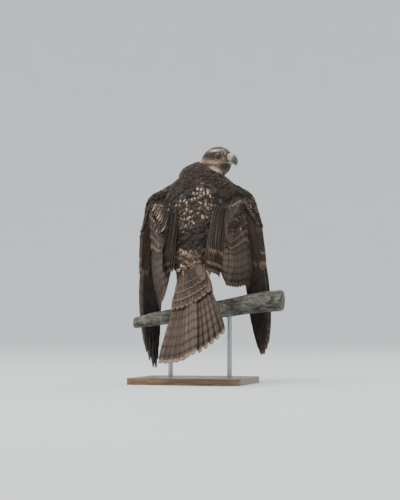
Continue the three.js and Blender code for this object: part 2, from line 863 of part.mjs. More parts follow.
const makeFoot = (foot, room) => {
  const sole = soleOf(foot);
  const ankleStub = limb([sole, step(sole, shankWay(foot), INSTEP)], [8.5, 6.2], 3);
  const toes = TOES.map((toe) => toeSolid(foot, toe));
  return largest(join([ankleStub, ...toes]).subtract(room));
};

const makeClaw = (foot, toe, room) => {
  const way = Math.sign(toe.end);
  const end = toe.end + (way * CLAW_LENGTH) / toeDegree(foot);
  const path = toePath(foot, toe, toe.end - 4 * way, end, (s) => mix(4.6, 1.4, s));
  const claw = limb(path, [3.1, 2.6, 0.7], 5, 6);
  return largest(claw.subtract(room).subtract(toeSolid(foot, toe, GAP)));
};

const shankSolid = (foot, grow = 0) => {
  const way = shankWay(foot);
  const bottom = step(soleOf(foot), way, INSTEP + 1.4 * GAP - grow);
  const top = step(ankleOf(foot), way, grow);
  const radii = [1.3, 1, 1.1].map((factor) => SHANK_RADIUS * factor + grow);
  return limb([top, between(top, bottom, 0.5), bottom], radii, 5);
};

const thighSolid = (foot) => {
  const hip = point(mix(foot.x, foot.side * 40, 0.5), 16, 142);
  const knee = point(mix(foot.x, foot.side * 30, 0.35), 12, 112);
  const calf = point(foot.x, -4, 86);
  const ankle = step(ankleOf(foot), point(0, 0.3, -0.9), 5);
  return limb([hip, knee, calf, ankle], [20, 22, 17, 9.5], 7, 12);
};

// Branch and stand

const BRANCH_SIDES = 14;
const BRANCH_ROWS = 14;
const branchSolid = (grow = 0) => {
  const rings = [];
  for (let row = 0; row <= BRANCH_ROWS; row += 1) {
    const s = row / BRANCH_ROWS;
    const centre = branchLine.getPoint(s);
    const radius = valueAlong(BRANCH, 'radius', s) + grow;
    const ring = [];
    for (let side = 0; side < BRANCH_SIDES; side += 1) {
      const angle = (side / BRANCH_SIDES) * 2 * Math.PI;
      ring.push(point(centre.x, centre.y + Math.sin(angle) * radius, centre.z + Math.cos(angle) * radius));
    }
    rings.push(ring);
  }
  return skinOver(rings);
};

const makeBase = () => {
  const { x, y, z } = BASE_SIZE;
  const corner = BASE_CORNER;
  const outline = new THREE.Shape();
  outline.moveTo(-x / 2 + corner, -y / 2);
  outline.lineTo(x / 2 - corner, -y / 2);
  outline.absarc(x / 2 - corner, -y / 2 + corner, corner, -Math.PI / 2, 0);
  outline.lineTo(x / 2, y / 2 - corner);
  outline.absarc(x / 2 - corner, y / 2 - corner, corner, 0, Math.PI / 2);
  outline.lineTo(-x / 2 + corner, y / 2);
  outline.absarc(-x / 2 + corner, y / 2 - corner, corner, Math.PI / 2, Math.PI);
  outline.lineTo(-x / 2, -y / 2 + corner);
  outline.absarc(-x / 2 + corner, -y / 2 + corner, corner, Math.PI, Math.PI * 1.5);
  const geometry = new THREE.ExtrudeGeometry(outline, { depth: z, bevelEnabled: false, curveSegments: 6 });
  geometry.translate(BASE_CENTRE.x, BASE_CENTRE.y, BASE_TOP - z);
  return asSolid(geometry);
};

const makeRod = (x, room) => {
  const bottom = BASE_TOP + GAP;
  const height = branchAt(x).z - bottom;
  const geometry = new THREE.CylinderGeometry(ROD_RADIUS, ROD_RADIUS, height, 20);
  geometry.rotateX(Math.PI / 2);
  geometry.translate(x, 0, bottom + height / 2);
  return largest(asSolid(geometry).subtract(room));
};

// Looks of the materials, from the photo

const LOOKS = {
  crown: { color: 0x6b5646, roughness: 0.85, metalness: 0 },
  mantle: { color: 0x4d3f38, roughness: 0.85, metalness: 0 },
  wing: { color: 0x56463c, roughness: 0.8, metalness: 0 },
  tail: { color: 0x6a5647, roughness: 0.8, metalness: 0 },
  leg: { color: 0xb9a283, roughness: 0.85, metalness: 0 },
  cere: { color: 0x9a9660, roughness: 0.45, metalness: 0 },
  bill: { color: 0x4a4c50, roughness: 0.3, metalness: 0 },
  eye: { color: 0x4b3b24, roughness: 0.08, metalness: 0 },
  toe: { color: 0xb8a04a, roughness: 0.55, metalness: 0 },
  claw: { color: 0x25211f, roughness: 0.3, metalness: 0 },
  bark: { color: 0x4a4a44, roughness: 0.95, metalness: 0 },
  plinth: { color: 0x2e2a27, roughness: 0.5, metalness: 0 },
  steel: { color: 0x8f9193, roughness: 0.35, metalness: 1 },
};

const hawk = new THREE.Group();
const place = (name, look, solid) => {
  const mesh = new THREE.Mesh(asGeometry(solid), new THREE.MeshStandardMaterial(LOOKS[look]));
  mesh.name = name;
  hawk.add(mesh);
};

// Assembly

const torsoRoom = trunk(BODY, TORSO_ROWS, GAP);
const branchRoom = branchSolid(GAP);

place('head', 'crown', makeHead(torsoRoom));
place('cere', 'cere', makeCere());
place('bill_upper', 'bill', makeBillUpper());
place('bill_lower', 'bill', makeBillLower());
place('eye_left', 'eye', ball(eyeCentre(1), EYE_RADIUS));
place('eye_right', 'eye', ball(eyeCentre(-1), EYE_RADIUS));
place('neck', 'mantle', makeNeck(torsoRoom));
place('torso', 'mantle', makeTorso());
place('tail', 'tail', makeTail(torsoRoom));
place('wing_left', 'wing', makeWing(WINGS.left, torsoRoom));
place('wing_right', 'wing', makeWing(WINGS.right, torsoRoom));

for (const foot of FEET) {
  const thigh = thighSolid(foot).subtract(torsoRoom).subtract(shankSolid(foot, GAP));
  place(`thigh_${foot.name}`, 'leg', largest(thigh));
  place(`shank_${foot.name}`, 'toe', shankSolid(foot));
  place(`foot_${foot.name}`, 'toe', makeFoot(foot, branchRoom));
  for (const toe of TOES) {
    place(`claw_${foot.name}_${toe.name}`, 'claw', makeClaw(foot, toe, branchRoom));
  }
}

place('perch_branch', 'bark', branchSolid());
place('stand_base', 'plinth', makeBase());
ROD_X.forEach((x, i) => place(`stand_rod_${i + 1}`, 'steel', makeRod(x, branchRoom)));

const bounds = new THREE.Box3().setFromObject(hawk);
const middle = bounds.getCenter(point(0, 0, 0));
hawk.position.set(-middle.x, -middle.y, -bounds.min.z);

export default hawk;
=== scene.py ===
# %% [markdown]
# # A red-tailed hawk on a cut branch
# A young hawk perches with its back to us and looks over its right shoulder. It is built life size
# over a fixed frame of plain solids: the frame gives every size, and this file gives the looks. Such
# a bird could be sculpted by hand and its plumage combed as hair. Here it is made as a taxidermist
# would make it, because each layer then follows from the one below: one skin, a coat of body feathers
# laid over that skin, tiers of large feathers on wings and tail, and last the bare parts and the perch.

import math

import bpy
import numpy as np
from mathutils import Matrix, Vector


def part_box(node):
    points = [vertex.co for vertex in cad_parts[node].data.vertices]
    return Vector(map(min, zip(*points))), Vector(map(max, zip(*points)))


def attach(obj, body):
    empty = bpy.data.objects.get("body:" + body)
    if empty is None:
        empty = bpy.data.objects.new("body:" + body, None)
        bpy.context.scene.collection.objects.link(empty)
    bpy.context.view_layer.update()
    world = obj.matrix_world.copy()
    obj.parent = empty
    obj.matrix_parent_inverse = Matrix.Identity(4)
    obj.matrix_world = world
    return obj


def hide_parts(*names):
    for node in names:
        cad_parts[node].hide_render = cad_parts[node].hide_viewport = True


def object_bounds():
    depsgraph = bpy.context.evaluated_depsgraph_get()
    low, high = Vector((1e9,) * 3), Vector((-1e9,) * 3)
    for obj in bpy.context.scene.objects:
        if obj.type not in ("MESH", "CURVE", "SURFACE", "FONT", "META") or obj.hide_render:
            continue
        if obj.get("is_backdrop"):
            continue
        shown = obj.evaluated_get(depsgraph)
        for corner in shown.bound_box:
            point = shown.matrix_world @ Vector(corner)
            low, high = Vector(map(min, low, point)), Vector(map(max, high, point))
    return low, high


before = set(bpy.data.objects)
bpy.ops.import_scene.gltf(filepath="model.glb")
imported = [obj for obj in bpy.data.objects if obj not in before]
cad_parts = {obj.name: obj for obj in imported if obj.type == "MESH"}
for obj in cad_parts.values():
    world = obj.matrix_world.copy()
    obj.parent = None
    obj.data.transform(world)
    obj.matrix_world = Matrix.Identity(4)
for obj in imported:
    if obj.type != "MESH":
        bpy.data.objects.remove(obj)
cad_low, cad_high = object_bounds()
random = np.random.default_rng(11)
print("frame box", [round(v, 3) for v in cad_low], [round(v, 3) for v in cad_high])

# %% [markdown]
# All shapes are worked out in millimetres from the point of the branch under the bird, where the
# body faces +Y and the branch runs along X. The stand's base tells where that point is in the frame.
# The photo was taken from behind and a little below. A camera could be dragged until the picture
# fits, but two angles, a distance and an aim give the same picture every time, so they are used.

# %% The perch point and the camera
MM = 0.001
PERCH_BEHIND_BASE = 30
PERCH_ABOVE_BASE = 142
base_low, base_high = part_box("stand_base")
PERCH = np.array([
    (base_low[0] + base_high[0]) / 2,
    (base_low[1] + base_high[1]) / 2 + PERCH_BEHIND_BASE * MM,
    base_high[2] + PERCH_ABOVE_BASE * MM,
])

CAMERA_AZIMUTH = math.radians(15)
CAMERA_ELEVATION = math.radians(-3)
CAMERA_DISTANCE = 3.2
FRAME_HEIGHT = 1.1
AIM_RIGHT = 0.0051
AIM_UP = 0.1364
SENSOR = 24

to_camera = Vector((
    math.sin(CAMERA_AZIMUTH) * math.cos(CAMERA_ELEVATION),
    -math.cos(CAMERA_AZIMUTH) * math.cos(CAMERA_ELEVATION),
    math.sin(CAMERA_ELEVATION),
))
to_right = Vector((math.cos(CAMERA_AZIMUTH), math.sin(CAMERA_AZIMUTH), 0))
to_top = to_camera.cross(to_right)
camera = bpy.data.objects.new("camera", bpy.data.cameras.new("camera"))
camera.data.sensor_width = SENSOR
camera.data.lens = SENSOR * CAMERA_DISTANCE / FRAME_HEIGHT
camera.location = Vector(PERCH) + to_right * AIM_RIGHT + to_top * AIM_UP + to_camera * CAMERA_DISTANCE
camera.rotation_mode = "QUATERNION"
camera.rotation_quaternion = (-to_camera).to_track_quat("-Z", "Y")
bpy.context.scene.collection.objects.link(camera)
bpy.context.scene.camera = camera
print("camera height", round(camera.location.z, 3))

# %% [markdown]
# Body, wings, tail and branch all bend gently. Their bends could be drawn with handles in the window.
# A Catmull-Rom curve is used instead, because it passes through the few named points that it is
# given. The same curve, taken evenly, carries widths and depths along the body.

# %% Curves and grids
def unit(vectors):
    """Each vector divided by its own length."""
    return vectors / np.maximum(np.linalg.norm(vectors, axis=-1, keepdims=True), 1e-9)


def mix(low, high, share):
    """A value that goes straight from low to high as share goes from 0 to 1."""
    return low + (high - low) * share


def smooth_curve(points, share, even=False):
    """Point at share 0 to 1 of a Catmull-Rom curve: between two points it is the cubic whose end
    slopes come from the neighbours, with knots spaced by the root of the distance or evenly."""
    points = np.asarray(points, float)
    last = len(points) - 1
    along = np.clip(np.asarray(share, float), 0, 1) * last
    cell = np.minimum(np.floor(along).astype(int), last - 1)
    w = (along - cell)[..., None]
    ends = np.vstack([2 * points[0] - points[1], points, 2 * points[-1] - points[-2]])
    p0, p1, p2, p3 = (ends[cell + i] for i in range(4))

    def knot(a, b):
        if even:
            return np.ones_like(w)
        return np.sqrt(np.maximum(np.linalg.norm(b - a, axis=-1, keepdims=True), 1e-6))

    d0, d1, d2 = knot(p0, p1), knot(p1, p2), knot(p2, p3)
    m1 = ((p1 - p0) / d0 - (p2 - p0) / (d0 + d1) + (p2 - p1) / d1) * d1
    m2 = ((p2 - p1) / d1 - (p3 - p1) / (d1 + d2) + (p3 - p2) / d2) * d1
    return p1 + m1 * w + (3 * (p2 - p1) - 2 * m1 - m2) * w**2 + (2 * (p1 - p2) + m1 + m2) * w**3


def values(numbers, share):
    """One number carried smoothly along a curve that is spaced evenly."""
    return smooth_curve(np.asarray(numbers, float)[:, None], share, even=True)[..., 0]


def ring_grid(rows, sides):
    """Shares along a tube (rows, 1) and angles around it (1, sides)."""
    return np.linspace(0, 1, rows)[:, None], np.linspace(0, 2 * np.pi, sides, endpoint=False)[None]


def tube(path, radii, rows, sides, reference=(1, 0, 0), flat=1.0):
    """Rings square to a smooth path: centre + normal * radius * cos + binormal * radius * sin, with
    the normal kept square to one reference direction, and `flat` scaling the binormal."""
    s, angle = ring_grid(rows, sides)
    s = s[:, 0]
    centre = smooth_curve(path, s)
    along = unit(np.gradient(centre, axis=0))
    normal = unit(np.cross(along, np.asarray(reference, float)))
    side = np.cross(along, normal)
    radius = values(radii, s)[:, None, None]
    angle = angle[..., None]
    spoke = np.cos(angle) * normal[:, None] + flat * np.sin(angle) * side[:, None]
    return centre[:, None] + radius * spoke


print("middle of a curve through 3 points", smooth_curve([(0, 0), (1, 2), (3, 3)], 0.5))

# %% [markdown]
# Every new piece is a thin closed surface. Blender's own balls and tubes could be pushed into shape.
# Here a grid of points becomes a mesh, with quads between neighbouring rings and one cap at each end,
# because whole arrays go into Blender at once, in milliseconds where a loop would take minutes.

# %% Making meshes
def tube_faces(rows, sides):
    """Quads of a closed tube and its two caps, by number of vertex."""
    index = np.arange(rows * sides).reshape(rows, sides)
    turned = np.roll(index, -1, axis=1)
    quads = np.stack([index[:-1], turned[:-1], turned[1:], index[1:]], -1).reshape(-1, 4)
    return [quads, np.stack([index[0, ::-1], index[-1]])]


def places_of(mesh):
    """The mesh's points in perch millimetres."""
    flat = np.empty(len(mesh.vertices) * 3, np.float32)
    mesh.vertices.foreach_get("co", flat)
    return (flat.reshape(-1, 3).astype(float) - PERCH) / MM


def move_to(mesh, places):
    """Moves the mesh's points to places given in perch millimetres."""
    mesh.vertices.foreach_set("co", np.ascontiguousarray(PERCH + places * MM, np.float32).ravel())


def give_colour(mesh, title, rgb):
    """Stores a colour for each point under a title."""
    rgba = np.ones((len(mesh.vertices), 4), np.float32)
    rgba[:, :3] = rgb.reshape(-1, 3)
    mesh.attributes.new(title, "FLOAT_COLOR", "POINT").data.foreach_set("color", rgba.ravel())


def make_mesh(name, points, faces, uv=None, colours=None, numbers=None):
    """A mesh from perch millimetres, with UV maps, colours and numbers given for each point."""
    mesh = bpy.data.meshes.new(name)
    corners = np.concatenate([group.ravel() for group in faces]).astype(np.int32)
    totals = np.concatenate([np.full(len(group), group.shape[1]) for group in faces]).astype(np.int32)
    starts = np.concatenate([[0], np.cumsum(totals)[:-1]]).astype(np.int32)
    mesh.vertices.add(points.size // 3)
    move_to(mesh, points.reshape(-1, 3))
    mesh.loops.add(len(corners))
    mesh.loops.foreach_set("vertex_index", corners)
    mesh.polygons.add(len(totals))
    mesh.polygons.foreach_set("loop_start", starts)
    mesh.polygons.foreach_set("loop_total", totals)
    mesh.update(calc_edges=True)
    for title, flat in (uv or {}).items():
        layer = mesh.uv_layers.new(name=title)
        at_corners = np.ascontiguousarray(flat.reshape(-1, 2)[corners], np.float32)
        layer.uv.foreach_set("vector", at_corners.ravel())
    for title, rgb in (colours or {}).items():
        give_colour(mesh, title, rgb)
    for title, number in (numbers or {}).items():
        data = np.ascontiguousarray(number.ravel(), np.float32)
        mesh.attributes.new(title, "FLOAT", "POINT").data.foreach_set("value", data)
    mesh.shade_smooth()
    return mesh


print("a tube of 3 rings of 8 has", len(tube_faces(3, 8)[0]), "quads and 2 caps")

# %% Putting pieces into the scene
def triangles_of(mesh):
    """The three point numbers of each triangle."""
    mesh.calc_loop_triangles()
    corners = np.empty(len(mesh.loop_triangles) * 3, np.int32)
    mesh.loop_triangles.foreach_get("vertices", corners)
    return corners.reshape(-1, 3)


def turn_outward(mesh):
    """Turns the faces so that the volume they enclose, summed over corner products, is positive."""
    places = places_of(mesh)
    a, b, c = np.moveaxis(places[triangles_of(mesh)], 1, 0)
    middle = places.mean(0)
    if (np.cross(a - middle, b - middle) * (c - middle)).sum() < 0:
        mesh.flip_normals()


def show(name, mesh, finish, *nodes):
    """Puts a finished mesh into the scene: it rides on the one body and stands for the nodes."""
    piece = bpy.data.objects.new(name, mesh)
    bpy.context.scene.collection.objects.link(piece)
    piece.data.materials.clear()
    piece.data.materials.append(finish)
    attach(piece, "root")
    if nodes:
        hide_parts(*nodes)
    return piece


def closed_tube(name, points, finish, *nodes, **layers):
    """One tube of rings as a finished closed piece, with its faces turned outward."""
    mesh = make_mesh(name, points, tube_faces(*points.shape[:2]), **layers)
    turn_outward(mesh)
    print(name, len(mesh.polygons), "faces")
    return show(name, mesh, finish, *nodes)


print("nodes of the frame that pieces can stand for", len(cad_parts))

# %% [markdown]
# Colours are picked as they look on a screen and turned into light values. Finishes could be painted
# as pictures, but a picture has edges and one resolution. A small graph of nodes has neither, so
# each finish is such a graph. `Graph` keeps its lines short: a call makes a node and gives its output.

# %% Colours as light
def paint(red, green, blue):
    """Screen colour 0 to 255 as linear light: the usual power of 2.4 above a short straight part."""
    screen = np.array([red, green, blue]) / 255
    return np.where(screen > 0.04045, ((screen + 0.055) / 1.055) ** 2.4, screen / 12.92)


print("middle grey of the screen as light", paint(128, 128, 128).round(3))

# %% Node graphs
class Graph:
    """A material's nodes, made one after another."""

    def __init__(self, name, rough=0.6, **sockets):
        """A new material whose shader has the roughness and the other socket values given."""
        self.material = bpy.data.materials.new(name)
        self.material.use_nodes = True
        self.nodes = self.material.node_tree.nodes
        self.links = self.material.node_tree.links
        self.shader = self.nodes["Principled BSDF"]
        self.shader.inputs["Roughness"].default_value = rough
        for socket, value in sockets.items():
            self.shader.inputs[socket.replace("_", " ")].default_value = value

    def feed(self, socket, value):
        """Links an output to the socket, or sets the socket to a number or a colour."""
        if isinstance(value, bpy.types.NodeSocket):
            self.links.new(value, socket)
        elif hasattr(value, "__len__") and len(value) == 3 and len(socket.default_value) == 4:
            socket.default_value = (*value, 1)
        else:
            socket.default_value = value

    def work_out(self, operation, *numbers):
        """One step of arithmetic on one or two values."""
        node = self.nodes.new("ShaderNodeMath")
        node.operation = operation
        for socket, value in zip(node.inputs, numbers):
            self.feed(socket, value)
        return node.outputs[0]

    def times(self, a, b):
        """a * b"""
        return self.work_out("MULTIPLY", a, b)

    def plus(self, a, b):
        """a + b"""
        return self.work_out("ADD", a, b)

    def apart(self, a, b):
        """How far a is from b, either way."""
        return self.work_out("ABSOLUTE", self.work_out("SUBTRACT", a, b))

    def ramp(self, value, low, high, first=0.0, second=1.0):
        """Goes smoothly from first to second while the value goes from low to high."""
        node = self.nodes.new("ShaderNodeMapRange")
        node.interpolation_type = "SMOOTHSTEP"
        numbers = {"Value": value, "From Min": low, "From Max": high, "To Min": first, "To Max": second}
        for key, number in numbers.items():
            self.feed(node.inputs[key], number)
        return node.outputs[0]

    def blend(self, share, first, second, kind="MIX"):
        """The first colour with a share of the second laid over it."""
        node = self.nodes.new("ShaderNodeMix")
        node.data_type = "RGBA"
        node.blend_type = kind
        self.feed(node.inputs["Factor"], share)
        self.feed(node.inputs[6], first)
        self.feed(node.inputs[7], second)
        return node.outputs[2]

    def attribute(self, title, output="Color"):
        """What the mesh stores for its points under a title."""
        node = self.nodes.new("ShaderNodeAttribute")
        node.attribute_name = title
        return node.outputs[output]

    def uv(self, title):
        """The two coordinates of a UV map."""
        node = self.nodes.new("ShaderNodeUVMap")
        node.uv_map = title
        split = self.nodes.new("ShaderNodeSeparateXYZ")
        self.links.new(node.outputs[0], split.inputs[0])
        return split.outputs[0], split.outputs[1]

    def place(self, stretch=(1, 1, 1)):
        """The place on the object in metres, stretched along its axes."""
        node = self.nodes.new("ShaderNodeTexCoord")
        scale = self.nodes.new("ShaderNodeMapping")
        scale.inputs["Scale"].default_value = stretch
        self.links.new(node.outputs["Object"], scale.inputs[0])
        return scale.outputs[0]

    def noise(self, place, scale, detail=3.0, rough=0.55):
        """Soft random spots, about one for each 1 / scale metres."""
        node = self.nodes.new("ShaderNodeTexNoise")
        self.links.new(place, node.inputs["Vector"])
        node.inputs["Scale"].default_value = scale
        node.inputs["Detail"].default_value = detail
        node.inputs["Roughness"].default_value = rough
        return node.outputs["Fac"]

    def finish(self, colour, height=None, depth=0.0005, strength=0.5, rough=None):
        """Feeds colour, bump height (depth in metres) and roughness to the shader."""
        self.feed(self.shader.inputs["Base Color"], colour)
        if rough is not None:
            self.feed(self.shader.inputs["Roughness"], rough)
        if height is not None:
            bump = self.nodes.new("ShaderNodeBump")
            bump.inputs["Distance"].default_value = depth
            bump.inputs["Strength"].default_value = strength
            self.links.new(height, bump.inputs["Height"])
            self.links.new(bump.outputs[0], self.shader.inputs["Normal"])
        return self.material


print("a graph can", [name for name in vars(Graph) if not name.startswith("_")])

# %% [markdown]
# Under the coat lies one skin, and its body is an egg that leans forward, with a neck folded down and
# a flat-topped skull. These could be sculpted, but a few rings with a width, a depth toward the back
# and a depth toward the belly say the same in numbers that can be measured on a real bird.

# %% The body's measures
# Columns: place x, y, z, then half width, depth toward the back and depth toward the belly.
BODY = np.array([
    [0, -47, 88, 38, 15, 20], [0, -36, 110, 54, 29, 38], [0, -12, 150, 64, 41, 54],
    [0, 14, 196, 72, 46, 62], [-1, 36, 242, 84, 46, 60], [-2, 50, 278, 80, 40, 50],
    [-1, 57, 300, 58, 28, 34], [0, 60, 309, 36, 18, 22],
], float)
NECK = np.array([
    [1, 54, 284, 68, 36, 44], [2, 58, 302, 60, 35, 40], [6, 64, 317, 45, 31, 35],
    [15, 69, 330, 31, 25, 28], [22, 72, 340, 18, 16, 18],
], float)
HEAD_CENTRE = np.array([28, 72, 340.0])
HEAD_TURN = math.radians(-18)
HEAD_NOD = math.radians(-6)
# Columns: forward, half width, top, bottom.
HEAD = np.array([
    [-38, 11, 9, -12], [-31, 20, 20, -24], [-17, 27, 30, -32], [0, 29, 34, -34],
    [12, 27, 32.5, -32.5], [21, 22.5, 29.5, -29], [28, 16, 24.5, -23], [33, 10.5, 19.5, -14.5],
], float)
FORWARD = np.array([
    math.cos(HEAD_TURN) * math.cos(HEAD_NOD), math.sin(HEAD_TURN) * math.cos(HEAD_NOD), math.sin(HEAD_NOD)])
LEFT = np.array([-math.sin(HEAD_TURN), math.cos(HEAD_TURN), 0])
UP = np.cross(FORWARD, LEFT)
FEET = {"left": (-1, -32), "right": (1, 12)}
BODY_INSET = 5
NECK_INSET = 4
HEAD_INSET = 1.6


def in_head(forward, left, up):
    """A place given along the head's own three axes."""
    forward, left, up = np.broadcast_arrays(*(np.asarray(v, float) for v in (forward, left, up)))
    return HEAD_CENTRE + forward[..., None] * FORWARD + left[..., None] * LEFT + up[..., None] * UP


def body_surface(stations, s, angle, lift=0.0):
    """Egg-shaped rings: centre + back * depth * cos + right * width * sin, where the depth is the
    back's for a positive cosine and the belly's for a negative one."""
    s, angle = np.broadcast_arrays(s, angle)
    centre = smooth_curve(stations[:, :3], s)
    wide, back, belly = (values(stations[:, i], s) + lift for i in (3, 4, 5))
    along = unit(stations[-1, :3] - stations[0, :3])
    right = unit(np.array([1, 0, 0]) - along * along[0])
    rear = np.cross(right, along)
    rear = rear if rear[1] < 0 else -rear
    depth = np.where(np.cos(angle) > 0, back, belly)
    return centre + (np.cos(angle) * depth)[..., None] * rear + (np.sin(angle) * wide)[..., None] * right


def skull_surface(s, angle, lift=0.0):
    """Rings across the head: half width times sine, and half height times cosine about the middle."""
    s, angle = np.broadcast_arrays(s, angle)
    forward, wide, top, bottom = (values(HEAD[:, i], s) for i in range(4))
    top, bottom, wide = top + lift, bottom - lift, wide + lift
    height = (top + bottom) / 2 + np.cos(angle) * (top - bottom) / 2
    return in_head(forward + lift * (2 * s - 1), np.sin(angle) * wide, height)


print("crown above the branch, mm", HEAD_CENTRE[2] + HEAD[:, 2].max())

# %% [markdown]
# The wings are half open and droop, and the tail is a half spread fan. Each could be a bent plane
# with a picture of feathers. Here a wing is a sheet, a function of which feather (k runs from the
# hand at 0 to the body at 1) and how far along it (t runs from the root at 0 to the tip at 1). Every
# row of feathers then finds its place by two numbers, on both wings, from the same few joints.

# %% The wings' and tail's measures
WINGS = {
    "left": dict(
        side=-1, shoulder=(-58, 40, 282), elbow=(-66, -33, 166), wrist=(-116, 40, 250), hand=(-134, 34, 172),
        tips=[(-143, 45, -46), (-133, 49, -92), (-112, 50, -128), (-101, 42, -74),
              (-95, 34, -12), (-84, 6, 20), (-70, -26, 26), (-58, -46, 46)],
    ),
    "right": dict(
        side=1, shoulder=(56, 40, 282), elbow=(74, -33, 166), wrist=(106, 40, 252), hand=(134, 34, 182),
        tips=[(153, 40, -34), (149, 46, -70), (135, 48, -96), (122, 44, -60),
              (113, 38, -2), (108, 16, 54), (92, -22, 52), (74, -46, 56)],
    ),
}
PRIMARIES = 10
SECONDARIES = 13
WRIST_SPAN = 10 / 18
HAND_DEPTH = 26
FLESH_DROP = 22
ARM_THICK = 10
BOW = 10
STACK = 6
TAIL_ROOT = np.array([3, -52, 92.0])
TAIL_AXIS = np.array([0.149, -0.588, -0.794])
TAIL_ACROSS = np.array([0.882, -0.278, 0.376])
TAIL_UP = np.cross(TAIL_AXIS, TAIL_ACROSS)


def spot(wing, key):
    """One of the wing's named joints as an array."""
    return np.array(wing[key], float)


for label, wing in WINGS.items():
    span = np.linalg.norm(spot(wing, "wrist") - wing["tips"][2])
    print(label, "wing, wrist to longest tip, mm", round(span))

# %% The flesh of a wing
def wing_edge(wing, k):
    """The wing's leading edge: straight from hand to wrist, then from wrist to shoulder."""
    k = np.asarray(k, float)[..., None]
    hand = mix(spot(wing, "hand"), spot(wing, "wrist"), k / WRIST_SPAN)
    arm = mix(spot(wing, "wrist"), spot(wing, "shoulder"), (k - WRIST_SPAN) / (1 - WRIST_SPAN))
    return np.where(k < WRIST_SPAN, hand, arm)


def wing_hem(wing, k):
    """The line behind the edge where the flesh ends: from the hand inward, then to the elbow."""
    k = np.asarray(k, float)[..., None]
    inward = np.array([-wing["side"] * 0.55, -0.83, 0])
    drop = np.array([0, -0.1, -1]) * FLESH_DROP
    at_hand = spot(wing, "hand") + inward * HAND_DEPTH * 0.4
    at_wrist = spot(wing, "wrist") + inward * HAND_DEPTH + drop
    hand = mix(at_hand, at_wrist, k / WRIST_SPAN)
    arm = mix(at_wrist, spot(wing, "elbow") + drop, (k - WRIST_SPAN) / (1 - WRIST_SPAN))
    return np.where(k < WRIST_SPAN, hand, arm)


at_wrist = wing_edge(WINGS["left"], WRIST_SPAN), wing_hem(WINGS["left"], WRIST_SPAN)
print("flesh behind the left wrist, mm", round(np.linalg.norm(at_wrist[1] - at_wrist[0])))

# %% Sheets of feathers
def remex_sheet(wing):
    """The sheet of flight feathers: a straight line from the flesh to the tip, bowed outward by a
    half sine, with the feathers nearer the body stacked further out."""
    def sheet(k, t):
        k, t = np.broadcast_arrays(np.asarray(k, float), np.asarray(t, float))
        tip = smooth_curve(wing["tips"], k)
        root = mix(wing_edge(wing, k), wing_hem(wing, k), mix(0.8, 0.72, k)[..., None])
        stack = STACK * (np.sin(np.pi / 2 * np.minimum(1, k / 0.6)) - 0.5) * mix(1, 0.6, t)
        bow = (BOW * np.sin(np.pi * t) + stack)[..., None]
        return mix(root, tip, t[..., None]) + np.array([wing["side"] * 0.8, -0.6, 0]) * bow
    return sheet


def wing_outward(wing):
    """The outside of the wing, turning smoothly from the hand to the body."""
    def outward(k, t):
        k, t = np.broadcast_arrays(np.asarray(k, float), np.asarray(t, float))
        return np.stack([wing["side"] * mix(0.86, 0.66, k), -mix(0.5, 0.75, k), 0.05 + 0 * k], -1)
    return outward


def covert_sheet(wing, start, reach, lift):
    """A row of coverts: a parabola from the flesh over the stems down to its place on the vanes."""
    remex = remex_sheet(wing)
    out = np.array([wing["side"] * 0.72, -0.6, 0.35])

    def sheet(k, t):
        k, t = np.broadcast_arrays(np.asarray(k, float), np.asarray(t, float))
        edge, hem = wing_edge(wing, k), wing_hem(wing, k)
        first = mix(edge, hem, start)
        bend = mix(edge, hem, 0.9) + out * (ARM_THICK * 0.8 + lift)
        last = remex(k, reach) + out * lift
        t = t[..., None]
        return first * (1 - t) ** 2 + bend * 2 * t * (1 - t) + last * t**2
    return sheet


def tail_sheet(length, base, fan, lift=0.0):
    """The tail's fan: from roots spread over the base, straight out at an angle of fan * k."""
    def sheet(k, t):
        k, t = np.broadcast_arrays(np.asarray(k, float), np.asarray(t, float))
        angle = np.radians(fan) * k
        reach = length * (1 - 0.06 * k * k) * t
        start = TAIL_ROOT + TAIL_ACROSS * (base * k)[..., None] + TAIL_UP * lift
        out = TAIL_AXIS * (np.cos(angle) * reach)[..., None]
        return start + out + TAIL_ACROSS * (np.sin(angle) * reach)[..., None]
    return sheet


print("outermost tip of the left wing", remex_sheet(WINGS["left"])(0, 1).round())

# %% [markdown]
# A bird's skin is one surface from the bill to the tail. It could be modelled face by face, but the
# joins at neck, thighs and arms are hard to keep smooth. So the parts are loose closed shells a few
# millimetres inside the frame's solids, and the Remesh modifier wraps them all in one even surface.
# The brow is a ridge over each eye, and the sockets are pressed in by moving the points nearby.

# %% Shells of the body and limbs
EYE_RADIUS = 8.6
EYE_AT = (12.5, 17.6, 11.2)
EYE_OUT = math.radians(21)
THIGH_RADII = [16.5, 18.5, 13.5, 6.5]
EDGE_SHARES = (0.02, 0.28, WRIST_SPAN, 0.78, 0.98)
EDGE_RADII = [5, 7.5, 9, 9.5, 10]
INNER_SHARES = (0.1, 0.35, WRIST_SPAN, 0.8, 0.98)
INNER_RADII = [4.5, 6, 7.5, 7.5, 7]
STUB_LENGTHS = (-18, 0, 16, 30, 42)
STUB_RADII = [9, 9.5, 8.5, 5.5, 2.5]
BROW = [(-4, 20, 21), (8, 22.2, 20.2), (19, 19, 18.4), (28, 9.5, 16)]
BROW_RADII = [1.2, 3, 2.8, 1.4]


def eye_centre(side):
    """The eyeball's centre: the same place along the head's axes, mirrored for the side."""
    return in_head(EYE_AT[0], side * EYE_AT[1], EYE_AT[2])


def eye_axis(side):
    """The way an eye looks: sideways, turned forward by its angle."""
    return math.sin(EYE_OUT) * FORWARD + side * math.cos(EYE_OUT) * LEFT


def thigh_path(side, x):
    """The thigh's middle line, from inside the belly straight above its foot down to the ankle."""
    hip = (mix(x, side * 40, 0.5), 16, 142)
    knee = (mix(x, side * 30, 0.35), 12, 112)
    return [hip, knee, (x, -4, 86), (x, -20.5, 65.5)]


